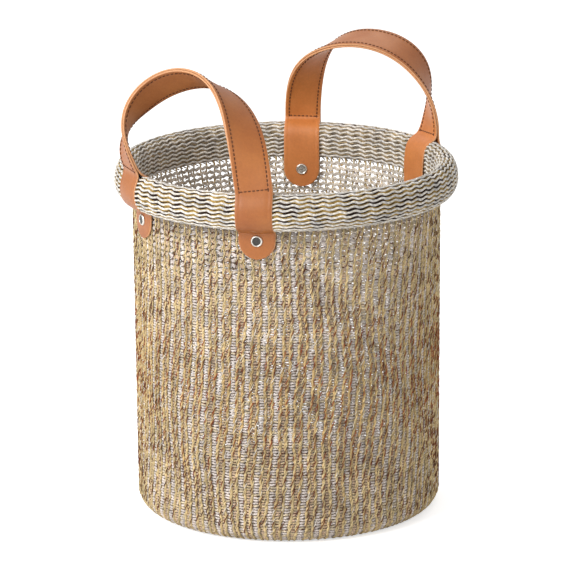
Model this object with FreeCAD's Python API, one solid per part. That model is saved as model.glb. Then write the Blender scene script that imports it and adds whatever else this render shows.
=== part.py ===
import FreeCAD, Part
import math
import os

# Woven yarn basket with a fat rolled rim and two stitched leather handles.
# Millimetres, +Z up, origin on the floor under the centre of the basket.

# ---- basket body ----
WALL_TOP_RADIUS = 150.0        # outside of the wall, just under the rim
WALL_TAPER = 1.3               # the wall is this much slimmer in radius above the bottom corner
WALL_THICKNESS = 3.0
BASKET_HEIGHT = 348.0          # floor to the top of the rim roll
CORNER_RADIUS = 14.0           # rounded bottom corner, outside
SEAM_THREAD = 1.2              # sewing thread of the base and rim seams

# ---- rim roll ----
ROLL_HEIGHT = 34.0
ROLL_DEPTH = 20.5              # inner face of the wall to the outside of the roll
ROLL_CROWN = 10.5              # highest point of the roll to its outside, sideways
ROLL_BELLY = 19.0              # the roll is fattest this far below its top
ROLL_SHOULDER = 12.0           # rise of the rounding inside the mouth
ROLL_FOOT = 3.5                # rounding where the roll meets the wall's top edge
ROLL_SKIN = 3.0                # fabric of the roll
HOOP_DIAMETER = 4.0            # wire ring inside the padding

# ---- leather handles ----
STRAP_WIDTH = 36.0
LEATHER_THICKNESS = 2.0
LAYER_GAP = 0.15               # glue line between the two layers of a strap
HANDLE_HALF_ANGLE = 27.7       # middle of a handle to each of its ends, degrees
CROTCH_OUTSET = 4.0            # the two layers part this far outside the roll's crown
CROTCH_RISE = 1.0              # crotch above the top of the roll
FLEX_RISE = 9.0                # flex line above the top of the roll
KNUCKLE_RADIUS = 12.0          # the fixed strap end is rounded about the flex line
HINGE_CLEARANCE = 0.3          # fixed strap end to the swinging strap
STITCH_INSET = 4.0             # edge of the strap to its line of stitches
STITCH_THREAD = 0.8
CROSS_ROW_DROP = 4.0           # flex line down to the cross row of stitches

# ---- riveted tabs ----
RIVET_DROP = 46.0              # top of the roll down to the rivets
RIVET_CAP_RADIUS = 5.5
RIVET_CAP_HEIGHT = 1.6
RIVET_CAP_FLAT = 3.6           # flat middle of the cap, radius
RIVET_POST_RADIUS = 2.0
RIVET_SOCKET_DEPTH = 1.0       # the post enters the back cap by this much
RIVET_HOLE_CLEARANCE = 0.1
RIVET_SOCKET_CLEARANCE = 0.05
SEAT_GAP = 0.2                 # leather to the fabric that it lies on
THREAD_GAP = 0.1               # thread or wire to what it lies on
DRAPE = 0.5                    # how loosely the tabs lie over the roll

# Shape of each loop, in millimetres and degrees.
#   azimuth   middle of the handle, about +Z from +X
#   height    apex above the crotch, along the leaning loop
#   bulge     how much wider than its ends the loop swells on its way up
#   bow       apex carried outward by the bend of the legs, negative is inward
#   tilt      outer edge of the strap raised at the apex
#   lean      whole loop tipped outward about the line between its crotches
#   skew      apex carried sideways along that line
#   sway      one leg bent outward and the other inward
#   curl      raises the outer edge of the strap in one leg and lowers it in the other
#   turn      apex turned about the vertical
HANDLES = {
    "front": dict(azimuth=267.7, height=90.7, bulge=0.054, bow=-38.9, tilt=36.6, lean=10.9,
                  skew=17.2, sway=10.5, curl=0.23, turn=1.4),
    "back": dict(azimuth=92.2, height=95.8, bulge=0.18, bow=-12.6, tilt=13.4, lean=-0.3,
                 skew=8.7, sway=7.8, curl=-0.22, turn=23.4),
}
TWIST_POWER = 1.15
STATIONS = 25                  # sections of a loop, evenly spaced
STRIP_STEPS = 60               # steps along a bent tab

# ---- derived places ----
WALL_TOP = BASKET_HEIGHT - ROLL_HEIGHT
ROLL_INNER = WALL_TOP_RADIUS - WALL_THICKNESS
ROLL_CENTRE = ROLL_INNER + ROLL_DEPTH - ROLL_CROWN
BELLY_Z = BASKET_HEIGHT - ROLL_BELLY
CROTCH_Z = BASKET_HEIGHT + CROTCH_RISE
FLEX_Z = BASKET_HEIGHT + FLEX_RISE
RIVET_Z = BASKET_HEIGHT - RIVET_DROP
WALL_BOTTOM_RADIUS = WALL_TOP_RADIUS - WALL_TAPER
BASE_RADIUS = WALL_BOTTOM_RADIUS - CORNER_RADIUS
LAYER_MIDDLE = (LAYER_GAP + LEATHER_THICKNESS) / 2
LAYER_FACE = LAYER_GAP / 2 + LEATHER_THICKNESS
OUTER_LAYER = (LAYER_GAP / 2, LAYER_FACE)
INNER_LAYER = (-LAYER_FACE, -LAYER_GAP / 2)
STITCH_LINE = STRAP_WIDTH / 2 - STITCH_INSET
STITCH_LOW = LAYER_FACE + THREAD_GAP
STITCH_HIGH = STITCH_LOW + STITCH_THREAD / 2
STITCH_FACES = ((STITCH_LOW, STITCH_HIGH), (-STITCH_HIGH, -STITCH_LOW))
SEAT = SEAT_GAP + LEATHER_THICKNESS / 2
TAB_HALF = STRAP_WIDTH / 2
TAB_SAG = ROLL_INNER - math.sqrt(ROLL_INNER ** 2 - TAB_HALF ** 2)
OUTER_SEAT = WALL_TOP_RADIUS + SEAT_GAP + LEATHER_THICKNESS
INNER_SEAT = ROLL_INNER - TAB_SAG - SEAT_GAP - LEATHER_THICKNESS
CROTCH_RADIUS = ROLL_CENTRE + CROTCH_OUTSET
HALF_ANGLE = math.radians(HANDLE_HALF_ANGLE)
HALF_SPAN = CROTCH_RADIUS * math.sin(HALF_ANGLE)
CHORD_OFFSET = CROTCH_RADIUS * math.cos(HALF_ANGLE)
Z_AXIS = FreeCAD.Vector(0, 0, 1)
ORIGIN = FreeCAD.Vector(0, 0, 0)


# ---- round pieces, turned about the basket's axis ----

def section_point(radius, height):
    """Point in the XZ half plane that every round piece is turned from."""
    return FreeCAD.Vector(radius, 0, height)


def polygon_face(points):
    """Flat face inside a closed polygon."""
    return Part.Face(Part.makePolygon(points + [points[0]]))


def turned(face, sweep=360.0, start=0.0):
    """Solid made by turning a section about +Z, starting at an azimuth."""
    first = face.copy()
    first.rotate(ORIGIN, Z_AXIS, start)
    return first.revolve(ORIGIN, Z_AXIS, sweep)


def ellipse_point(centre, half_width, half_height, degrees):
    """Point on an ellipse in the XZ plane."""
    angle = math.radians(degrees)
    return centre + section_point(half_width * math.cos(angle), half_height * math.sin(angle))


def smooth_edge(points):
    """Smooth edge through points."""
    curve = Part.BSplineCurve()
    curve.interpolate(points)
    return curve.toShape()


def quarter_ellipse(centre, half_width, half_height, start):
    """Quarter of an ellipse in the XZ plane, running on from a start angle."""
    return smooth_edge([ellipse_point(centre, half_width, half_height, start + 90.0 * step / 8)
                        for step in range(9)])


def roll_face(inset):
    """Section of the rim roll, drawn in from its outside by an inset."""
    crown = ROLL_CROWN - inset
    back = ROLL_DEPTH - ROLL_CROWN - inset
    shoulder = ROLL_SHOULDER - inset
    foot = ROLL_FOOT - inset
    rise = ROLL_BELLY - inset
    drop = ROLL_HEIGHT - ROLL_BELLY - inset
    belly = section_point(ROLL_CENTRE, BELLY_Z)
    inside_top = section_point(ROLL_CENTRE, BASKET_HEIGHT - ROLL_SHOULDER)
    inside_foot = section_point(ROLL_INNER + ROLL_FOOT, WALL_TOP + ROLL_FOOT)
    edges = [
        quarter_ellipse(belly, crown, rise, 0),
        quarter_ellipse(inside_top, back, shoulder, 90),
        Part.makeLine(inside_top - section_point(back, 0), inside_foot - section_point(foot, 0)),
        quarter_ellipse(inside_foot, foot, foot, 180),
        Part.makeLine(inside_foot - section_point(0, foot), belly - section_point(0, drop)),
        quarter_ellipse(belly, crown, drop, 270),
    ]
    return Part.Face(Part.Wire(edges))


def thread_ring(radius, height, diameter):
    """Round thread or wire laid in a full circle."""
    return Part.makeTorus(radius, diameter / 2, section_point(0, height), Z_AXIS)


def wall():
    """Tapered wall from the bottom corner up to the roll, with the rivet holes."""
    shell = turned(polygon_face([
        section_point(WALL_BOTTOM_RADIUS - WALL_THICKNESS, CORNER_RADIUS),
        section_point(WALL_BOTTOM_RADIUS, CORNER_RADIUS),
        section_point(WALL_TOP_RADIUS, WALL_TOP),
        section_point(WALL_TOP_RADIUS - WALL_THICKNESS, WALL_TOP),
    ]))
    for azimuth in end_azimuths():
        shell = shell.cut(rivet_hole(azimuth))
    return shell


def base_corner():
    """Edge of the wall turned in under the basket round the bottom corner."""
    centre = section_point(BASE_RADIUS, CORNER_RADIUS)
    inner = CORNER_RADIUS - WALL_THICKNESS
    arcs = [Part.Arc(*[ellipse_point(centre, size, size, degrees) for degrees in (270, 315, 360)]).toShape()
            for size in (CORNER_RADIUS, inner)]
    ends = [Part.makeLine(ellipse_point(centre, inner, inner, degrees),
                          ellipse_point(centre, CORNER_RADIUS, CORNER_RADIUS, degrees))
            for degrees in (270, 360)]
    return turned(Part.Face(Part.Wire(Part.__sortEdges__(arcs + ends))))


def base_disc():
    """Flat round of the same fabric that closes the bottom."""
    return Part.makeCylinder(BASE_RADIUS, WALL_THICKNESS)


def rim_padding():
    """Filling of the roll, with the groove that holds the wire ring."""
    filling = turned(roll_face(ROLL_SKIN + THREAD_GAP))
    return filling.cut(thread_ring(ROLL_CENTRE, BELLY_Z, HOOP_DIAMETER + 2 * THREAD_GAP))


def rim_seam():
    """Thread in the corner between the underside of the roll and the wall."""
    stand_off = SEAM_THREAD / 2 + THREAD_GAP
    return thread_ring(WALL_TOP_RADIUS + stand_off, WALL_TOP - stand_off, SEAM_THREAD)


def base_seam():
    """Thread over the joint of the base and the turned-in wall, inside the basket."""
    return thread_ring(BASE_RADIUS, WALL_THICKNESS + SEAM_THREAD / 2 + THREAD_GAP, SEAM_THREAD)


# ---- riveted tabs at the ends of the handles ----

def end_azimuths():
    """Azimuth of every handle end."""
    return [handle["azimuth"] + side * HANDLE_HALF_ANGLE
            for handle in HANDLES.values() for side in (-1, 1)]


def placed(shape, azimuth):
    """Copy of a shape drawn at azimuth 0, turned to its azimuth."""
    copy = shape.copy()
    copy.rotate(ORIGIN, Z_AXIS, azimuth)
    return copy


def rivet_hole(azimuth):
    """Hole for a rivet post through the wall and both tabs."""
    hole = Part.makeCylinder(RIVET_POST_RADIUS + RIVET_HOLE_CLEARANCE, WALL_TOP_RADIUS,
                             FreeCAD.Vector(WALL_TOP_RADIUS / 2, 0, RIVET_Z), FreeCAD.Vector(1, 0, 0))
    return placed(hole, azimuth)


def strip_face(poles, thickness):
    """Section of a bent strip with an even thickness, its middle drawn through poles."""
    line = Part.BSplineCurve()
    line.buildFromPoles(poles, False, 3)
    sides = [[], []]
    for step in range(STRIP_STEPS + 1):
        place = line.FirstParameter + (line.LastParameter - line.FirstParameter) * step / STRIP_STEPS
        along = line.tangent(place)[0]
        across = FreeCAD.Vector(along.z, 0, -along.x) * (thickness / 2)
        sides[0].append(line.value(place) + across)
        sides[1].append(line.value(place) - across)
    edges = [smooth_edge(side) for side in sides]
    edges += [Part.makeLine(sides[0][end], sides[1][end]) for end in (0, -1)]
    return Part.Face(Part.Wire(Part.__sortEdges__(edges)))


def outer_line():
    """Poles of the outer tab's middle: up the wall, round the roll and up to the strap."""
    radius = OUTER_SEAT - LEATHER_THICKNESS / 2
    belly = section_point(ROLL_CENTRE, BELLY_Z)
    width = ROLL_CROWN + SEAT + DRAPE
    drop = ROLL_HEIGHT - ROLL_BELLY + SEAT + DRAPE
    rise = ROLL_BELLY + SEAT + DRAPE
    crotch = CROTCH_RADIUS + LAYER_MIDDLE + DRAPE
    poles = [section_point(radius, RIVET_Z + TAB_HALF * share) for share in (-2.0, -1.2, -0.4, 0.2, 0.33)]
    poles.append(section_point(radius, WALL_TOP - 3.5))
    poles += [ellipse_point(belly, width, drop, degrees) for degrees in (-72, -48, -24, 0)]
    poles += [ellipse_point(belly, width, rise, degrees) for degrees in (18, 36)]
    poles += [section_point(crotch, CROTCH_Z + lift) for lift in (-1.5, 0.0, 1.5)]
    return poles


def inner_line():
    """Poles of the inner tab's middle: up inside the mouth and over the roll to the strap."""
    radius = INNER_SEAT + LEATHER_THICKNESS / 2
    shoulder = section_point(ROLL_CENTRE - TAB_SAG, BASKET_HEIGHT - ROLL_SHOULDER)
    back = ROLL_DEPTH - ROLL_CROWN + SEAT
    rise = ROLL_SHOULDER + SEAT + DRAPE
    end = CROTCH_RADIUS - LAYER_MIDDLE
    poles = [section_point(radius, RIVET_Z + TAB_HALF * share) for share in (-2.0, -1.0, 0.0, 1.0)]
    poles += [ellipse_point(shoulder, back, rise, degrees) for degrees in (180, 160, 138, 116, 96)]
    poles += [section_point(end - reach, CROTCH_Z + 1.2) for reach in (2.5, 1.0, -0.4)]
    return poles


def tab_outline():
    """Block that rounds the lower end of a tab at azimuth 0."""
    depth = WALL_TOP_RADIUS
    start = FreeCAD.Vector(WALL_TOP_RADIUS / 2, 0, RIVET_Z)
    block = Part.makeBox(depth, STRAP_WIDTH, BASKET_HEIGHT, start - FreeCAD.Vector(0, TAB_HALF, 0))
    return block.fuse(Part.makeCylinder(TAB_HALF, depth, start, FreeCAD.Vector(1, 0, 0)))


def knuckle(azimuth, radius):
    """Round bar along the flex line of the handle at an azimuth."""
    length = 4 * HALF_SPAN
    bar = Part.makeCylinder(radius, length, FreeCAD.Vector(CHORD_OFFSET, -length / 2, FLEX_Z),
                            FreeCAD.Vector(0, 1, 0))
    return placed(bar, azimuth)


def above(height):
    """Everything over a height."""
    return Part.makeCylinder(2 * WALL_TOP_RADIUS, BASKET_HEIGHT, FreeCAD.Vector(0, 0, height))


def stub(handle, side, across_range, face_range):
    """One end of a loop's strip, rounded about the flex line."""
    turns = [-side * (90 - 45 * step / 8) for step in range(9)]
    strip = loop_loft(handle, across_range, face_range, turns)
    return strip.common(knuckle(handle["azimuth"], KNUCKLE_RADIUS))


def tab(handle, side, line, layer):
    """One riveted strap end, from its round tip up to the rounded end at the flex line."""
    azimuth = handle["azimuth"] + side * HANDLE_HALF_ANGLE
    strip = strip_face(line, LEATHER_THICKNESS)
    strip.translate(FreeCAD.Vector(0, -TAB_HALF, 0))
    strip = strip.extrude(FreeCAD.Vector(0, STRAP_WIDTH, 0))
    tip = placed(strip.common(tab_outline()), azimuth).cut(rivet_hole(azimuth))
    top = stub(handle, side, layer_width(), layer).common(above(BASKET_HEIGHT + SEAT_GAP))
    return tip.fuse(top).removeSplitter()


def end_stitching(handle, side):
    """Cross row and the ends of both edge lines, on each face of the fixed strap end."""
    half = STITCH_THREAD / 2
    row_z = FLEX_Z - CROSS_ROW_DROP
    rows = []
    for low, high in STITCH_FACES:
        row = stub(handle, side, (-STITCH_LINE - half, STITCH_LINE + half), (low, high))
        inside = stub(handle, side, (half - STITCH_LINE, STITCH_LINE - half), (low - half, high + half))
        rows.append(row.common(above(row_z - half)).cut(inside.common(above(row_z + half))))
    return rows


def cap_profile(seat_radius, outward):
    """Half section of a rivet cap with a bevelled edge, seated on leather at a radius."""
    top = seat_radius + outward * RIVET_CAP_HEIGHT
    shoulder = seat_radius + outward * RIVET_CAP_HEIGHT / 3
    return [FreeCAD.Vector(seat_radius, 0, 0), FreeCAD.Vector(seat_radius, 0, RIVET_CAP_RADIUS),
            FreeCAD.Vector(shoulder, 0, RIVET_CAP_RADIUS), FreeCAD.Vector(top, 0, RIVET_CAP_FLAT),
            FreeCAD.Vector(top, 0, 0)]


def rivet_cap(seat_radius, outward):
    """Round cap whose axis is the rivet's, drawn at azimuth 0."""
    cap = polygon_face(cap_profile(seat_radius, outward)).revolve(ORIGIN, FreeCAD.Vector(1, 0, 0), 360)
    cap.translate(FreeCAD.Vector(0, 0, RIVET_Z))
    return cap


def rivet_post(start, end, radius):
    """Round bar along the rivet's axis, drawn at azimuth 0."""
    return Part.makeCylinder(radius, end - start, FreeCAD.Vector(start, 0, RIVET_Z), FreeCAD.Vector(1, 0, 0))


def rivet(azimuth):
    """Outer cap and post in one piece."""
    tip, head = INNER_SEAT - RIVET_SOCKET_DEPTH, OUTER_SEAT + RIVET_CAP_HEIGHT / 2
    post = rivet_post(tip, head, RIVET_POST_RADIUS)
    return placed(rivet_cap(OUTER_SEAT, 1).fuse(post).removeSplitter(), azimuth)


def rivet_back(azimuth):
    """Inner cap, pressed on the tip of the post."""
    radius = RIVET_POST_RADIUS + RIVET_SOCKET_CLEARANCE
    socket = rivet_post(INNER_SEAT - RIVET_SOCKET_DEPTH, INNER_SEAT, radius)
    return placed(rivet_cap(INNER_SEAT, -1).cut(socket), azimuth)


# ---- swinging loops ----

def loop_frame(handle, turn):
    """Centre, across, along and face directions of a loop at a turn of -90 to +90 degrees."""
    centre = loop_point(handle, turn)
    step = 0.5
    along = loop_point(handle, turn + step) - loop_point(handle, turn - step)
    along.normalize()
    angle = math.radians(turn)
    lift = math.cos(angle) ** TWIST_POWER if abs(turn) < 90 else 0.0
    side = -1 if turn > 0 else 1
    end = FreeCAD.Vector(side * math.cos(HALF_ANGLE), math.sin(HALF_ANGLE), 0)
    tilt = math.radians(handle["tilt"])
    yaw = math.radians(handle["turn"])
    apex = FreeCAD.Vector(math.sin(yaw), math.cos(tilt) * math.cos(yaw), math.sin(tilt))
    across = end * (1 - lift) + apex * lift
    across += FreeCAD.Vector(0, 0, handle["curl"] * math.sin(2 * angle))
    across -= along * across.dot(along)
    across.normalize()
    return centre, across, along.cross(across)


def loop_point(handle, turn):
    """Centre of a loop, with X along the flex line and Y outward from the basket's axis."""
    angle = math.radians(turn)
    rise = math.cos(angle)
    swell = 1 + handle["bulge"] * rise ** 2
    along = HALF_SPAN * math.sin(angle) * swell + handle["skew"] * rise
    outward = handle["bow"] * rise ** 2 + handle["sway"] * math.sin(2 * angle)
    height = handle["height"] * rise
    lean = math.radians(handle["lean"])
    return FreeCAD.Vector(along,
                          CHORD_OFFSET + outward * math.cos(lean) + height * math.sin(lean),
                          CROTCH_Z + height * math.cos(lean) - outward * math.sin(lean))


def loop_section(handle, turn, across_range, face_range):
    """Rectangle across a loop, spanning a range of its width and of its thickness."""
    centre, across, face = loop_frame(handle, turn)
    corners = [(across_range[0], face_range[0]), (across_range[1], face_range[0]),
               (across_range[1], face_range[1]), (across_range[0], face_range[1])]
    points = [centre + across * a + face * f for a, f in corners]
    return Part.makePolygon(points + [points[0]])


def loop_loft(handle, across_range, face_range, turns):
    """Strip of a loop through its sections at some turns."""
    sections = [loop_section(handle, turn, across_range, face_range) for turn in turns]
    return placed(Part.makeLoft(sections, True, False), handle["azimuth"] - 90)


def swinging_strip(handle, across_range, face_range):
    """Strip of a loop above the flex line, cut back round that line so that it can swing."""
    turns = [-90 + 180 * step / (STATIONS - 1) for step in range(STATIONS)]
    strip = loop_loft(handle, across_range, face_range, turns).common(above(FLEX_Z))
    return strip.cut(knuckle(handle["azimuth"], KNUCKLE_RADIUS + HINGE_CLEARANCE))


def layer_width():
    """Both edges of a strap, across its width."""
    return -STRAP_WIDTH / 2, STRAP_WIDTH / 2


def stitch_edges():
    """Both edge lines of stitches, as ranges of the strap's width."""
    half = STITCH_THREAD / 2
    return [(edge * STITCH_LINE - half, edge * STITCH_LINE + half) for edge in (-1, 1)]


def edge_stitching(handle):
    """Lines of thread along both edges, on both faces of a loop."""
    return [swinging_strip(handle, edge, faces) for edge in stitch_edges() for faces in STITCH_FACES]


# ---- nodes ----

def basket_nodes():
    """Every piece of the woven body."""
    return {
        "wall_weave": wall(),
        "base_corner": base_corner(),
        "base_disc": base_disc(),
        "base_seam": base_seam(),
        "rim_roll": turned(roll_face(0)).cut(turned(roll_face(ROLL_SKIN))),
        "rim_padding": rim_padding(),
        "rim_hoop": thread_ring(ROLL_CENTRE, BELLY_Z, HOOP_DIAMETER),
        "rim_seam": rim_seam(),
    }


def handle_nodes(name, handle):
    """Every piece of one handle."""
    nodes = {
        f"{name}_handle_outer_strap": swinging_strip(handle, layer_width(), OUTER_LAYER),
        f"{name}_handle_inner_strap": swinging_strip(handle, layer_width(), INNER_LAYER),
        f"{name}_handle_stitching": Part.makeCompound(edge_stitching(handle)),
    }
    rows = []
    for end, side in (("left", -1), ("right", 1)):
        azimuth = handle["azimuth"] + side * HANDLE_HALF_ANGLE
        nodes[f"{name}_{end}_outer_tab"] = tab(handle, side, outer_line(), OUTER_LAYER)
        nodes[f"{name}_{end}_inner_tab"] = tab(handle, side, inner_line(), INNER_LAYER)
        nodes[f"{name}_{end}_rivet"] = rivet(azimuth)
        nodes[f"{name}_{end}_rivet_back"] = rivet_back(azimuth)
        rows += end_stitching(handle, side)
    nodes[f"{name}_end_stitching"] = Part.makeCompound(rows)
    return nodes


def main():
    """Build every node and write it to parts/."""
    os.makedirs("parts", exist_ok=True)
    nodes = basket_nodes()
    for name, handle in HANDLES.items():
        nodes.update(handle_nodes(name, handle))
    for name, shape in nodes.items():
        shape.exportStep(f"parts/{name}.step")
        state = "valid" if shape.isValid() else "BAD"
        print(name, len(shape.Solids), "solids", round(shape.Volume), "mm3", state)


main()
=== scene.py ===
"""Knitted yarn basket with a fat rope rim and two stitched leather handles."""

import logging
import math
from dataclasses import dataclass, field
from enum import Enum

import bpy
import numpy as np
from mathutils import Matrix, Vector

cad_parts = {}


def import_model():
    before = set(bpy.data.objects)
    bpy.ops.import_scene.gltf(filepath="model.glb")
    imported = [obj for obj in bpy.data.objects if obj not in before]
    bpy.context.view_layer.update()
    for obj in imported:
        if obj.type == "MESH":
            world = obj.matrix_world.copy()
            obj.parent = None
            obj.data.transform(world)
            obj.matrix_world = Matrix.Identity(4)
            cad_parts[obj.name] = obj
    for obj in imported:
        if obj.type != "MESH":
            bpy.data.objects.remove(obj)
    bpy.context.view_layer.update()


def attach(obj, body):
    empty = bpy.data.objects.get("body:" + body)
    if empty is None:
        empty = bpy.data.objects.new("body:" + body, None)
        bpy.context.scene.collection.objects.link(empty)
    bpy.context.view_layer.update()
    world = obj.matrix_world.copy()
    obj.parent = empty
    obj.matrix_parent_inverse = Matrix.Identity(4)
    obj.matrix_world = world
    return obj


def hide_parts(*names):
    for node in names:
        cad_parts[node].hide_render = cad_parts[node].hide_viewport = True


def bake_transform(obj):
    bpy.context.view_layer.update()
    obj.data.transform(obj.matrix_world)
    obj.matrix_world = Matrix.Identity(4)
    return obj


LOG = logging.getLogger("basket")
MM = 0.001
FULL_TURN = 2 * math.pi
UP = np.array([0.0, 0.0, 1.0])
NO_CAPS = np.zeros((0, 3), dtype=int)


class Body(Enum):
    """Rigid bodies that pieces ride on."""

    BASKET = "basket"
    FRONT_HANDLE = "front_handle"
    BACK_HANDLE = "back_handle"


class Slot(Enum):
    """Material slots of the record that pieces take their finish from."""

    WALL = "wall_weave"
    BASE = "base_weave"
    RIM = "rim_weave"
    PADDING = "padding"
    SEAM = "seam_thread"
    LEATHER = "leather"
    STITCH = "stitch_thread"
    RIVET = "rivet_metal"


def srgb(red: float, green: float, blue: float) -> np.ndarray:
    """Linear colour of an 8-bit display colour."""
    value = np.array([red, green, blue]) / 255
    return np.where(value <= 0.04045, value / 12.92, ((value + 0.055) / 1.055) ** 2.4)


def tone(red: float, green: float, blue: float) -> object:
    """Field of a dataclass that holds the linear colour of an 8-bit display colour."""
    return field(default_factory=lambda: srgb(red, green, blue))


# ---------------------------------------------------------------- materials


class Nodes:
    """A shader node tree while it is being put together."""

    def __init__(self, tree: bpy.types.NodeTree) -> None:
        """Start with a tree."""
        self.tree = tree

    def feed(self, node: bpy.types.Node, inputs: dict) -> None:
        """Link inputs of a node, or set their constants.

        Args:
            node: Node with the inputs.
            inputs: Sockets or constants, by name or number of the input.
        """
        for name, value in inputs.items():
            if isinstance(value, bpy.types.NodeSocket):
                self.tree.links.new(value, node.inputs[name])
            else:
                node.inputs[name].default_value = value

    def node(self, kind: str, inputs: dict, **settings: object) -> bpy.types.Node:
        """New node with its inputs fed.

        Args:
            kind: Node class name after "ShaderNode".
            inputs: Sockets or constants, by name or number of the input.
            settings: Attributes of the node.

        Returns:
            The node.
        """
        made = self.tree.nodes.new("ShaderNode" + kind)
        for name, value in settings.items():
            setattr(made, name, value)
        self.feed(made, inputs)
        return made

    def math(self, operation: str, first: object, second: object = 0.0) -> bpy.types.NodeSocket:
        """Result of a Math node on two sockets or numbers."""
        return self.node("Math", {0: first, 1: second}, operation=operation).outputs[0]

    def spread(self, value: object, low: float, high: float, start: float = 0.3, end: float = 0.7) -> object:
        """A value that runs from start to end, stretched to run from low to high."""
        inputs = {"Value": value, "From Min": start, "From Max": end, "To Min": low, "To Max": high}
        return self.node("MapRange", inputs).outputs["Result"]

    def seen(self) -> bpy.types.NodeSocket:
        """1 for rays that show what they meet, straight, in a mirror or through glass, and 0 for others.

        Returns:
            The value output.
        """
        rays = self.node("LightPath", {}).outputs
        either = self.math("MAXIMUM", rays["Is Camera Ray"], rays["Is Glossy Ray"])
        return self.math("MAXIMUM", either, rays["Is Transmission Ray"])


class Shader(Nodes):
    """A material while it is being put together."""

    def __init__(self, name: str) -> None:
        """Start a material with a Principled surface.

        Args:
            name: Name of the material.
        """
        self.material = bpy.data.materials.new(name)
        self.material.use_nodes = True
        super().__init__(self.material.node_tree)
        self.surface = self.tree.nodes["Principled BSDF"]
        self.place = self.node("TexCoord", {}).outputs["Object"]

    def noise(self, scale: float, detail: float, stretch: tuple = (1, 1, 1)) -> bpy.types.NodeSocket:
        """Noise from 0 to 1, with its scale in cells per metre and its detail in octaves."""
        place = self.node("Mapping", {"Vector": self.place, "Scale": stretch}).outputs["Vector"]
        return self.node("TexNoise", {"Vector": place, "Scale": scale, "Detail": detail}).outputs["Fac"]

    def mix(self, factor: object, first: object, second: object, blend: str = "MIX") -> bpy.types.NodeSocket:
        """Mix of two colours.

        Args:
            factor: Socket or number from 0 to 1.
            first: Socket or linear colour.
            second: Socket or linear colour.
            blend: Blend type.

        Returns:
            The colour output.
        """
        inputs = {"Factor": factor}
        for number, value in ((6, first), (7, second)):
            inputs[number] = value if isinstance(value, bpy.types.NodeSocket) else (*value, 1.0)
        return self.node("Mix", inputs, data_type="RGBA", blend_type=blend).outputs[2]

    def grey(self, amount: object) -> bpy.types.NodeSocket:
        """Grey colour from a number."""
        return self.node("CombineColor", {channel: amount for channel in range(3)}).outputs[0]

    def shade(self, colour: object, amount: object) -> bpy.types.NodeSocket:
        """Colour made lighter or darker by a grey amount."""
        return self.mix(1.0, colour, self.grey(amount), "MULTIPLY")

    def attribute(self, name: str, output: str) -> bpy.types.NodeSocket:
        """Mesh attribute by the name of one of its outputs."""
        return self.node("Attribute", {}, attribute_name=name).outputs[output]

    def bump(self, height: object, distance: float, strength: float) -> None:
        """Raise the surface by a pattern from 0 to 1 that is a distance in metres high."""
        made = self.node("Bump", {"Height": height, "Distance": distance, "Strength": strength})
        self.feed(self.surface, {"Normal": made.outputs["Normal"]})

    def dress(self, **inputs: object) -> bpy.types.Material:
        """Material with its surface fed, where input names have underscores for spaces."""
        self.feed(self.surface, {name.replace("_", " "): value for name, value in inputs.items()})
        return self.material


@dataclass(frozen=True)
class YarnFinish:
    """Spun yarn whose colour is laid on its strands, with painted shade along its twist grooves, fluff and
    dye variation.
    """

    name: str
    twist_groove_shade: float = 0.22
    fluff: float = 0.25
    blotch: float = 0.20
    roughness: float = 0.85
    relief: float = 0.35 * MM
    relief_share: float = 0.7
    sheen: float = 0.06
    specular: float = 0.25
    fluff_scale: float = 1100.0
    blotch_scale: float = 55.0

    def material(self) -> bpy.types.Material:
        """Make the finish.

        Returns:
            The material.
        """
        shader = Shader(self.name)
        lay = shader.node("SeparateXYZ", {0: shader.attribute("lay", "Vector")}).outputs
        phase = shader.math("MULTIPLY", lay[0], FULL_TURN)
        first = shader.math("MULTIPLY", shader.math("SINE", phase), lay[1])
        second = shader.math("MULTIPLY", shader.math("COSINE", phase), lay[2])
        twist = shader.spread(shader.math("ADD", first, second), 0, 1, -1, 1)
        fluff = shader.noise(self.fluff_scale, 3)
        blotch = shader.spread(shader.noise(self.blotch_scale, 2), 1 - self.blotch, 1 + self.blotch)
        colour = shader.shade(shader.attribute("tint", "Color"), blotch)
        colour = shader.shade(colour, shader.spread(fluff, 1 - self.fluff, 1 + self.fluff / 2))
        # painted shade along the helical grooves of the twist
        colour = shader.shade(colour, shader.spread(twist, 1 - self.twist_groove_shade, 1.0, 0, 1))
        rough = shader.spread(fluff, self.roughness - 0.1, self.roughness + 0.08)
        shader.bump(shader.math("ADD", twist, fluff), self.relief, self.relief_share)
        return shader.dress(Base_Color=colour, Roughness=rough, Sheen_Weight=self.sheen,
                            Specular_IOR_Level=self.specular)


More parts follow.
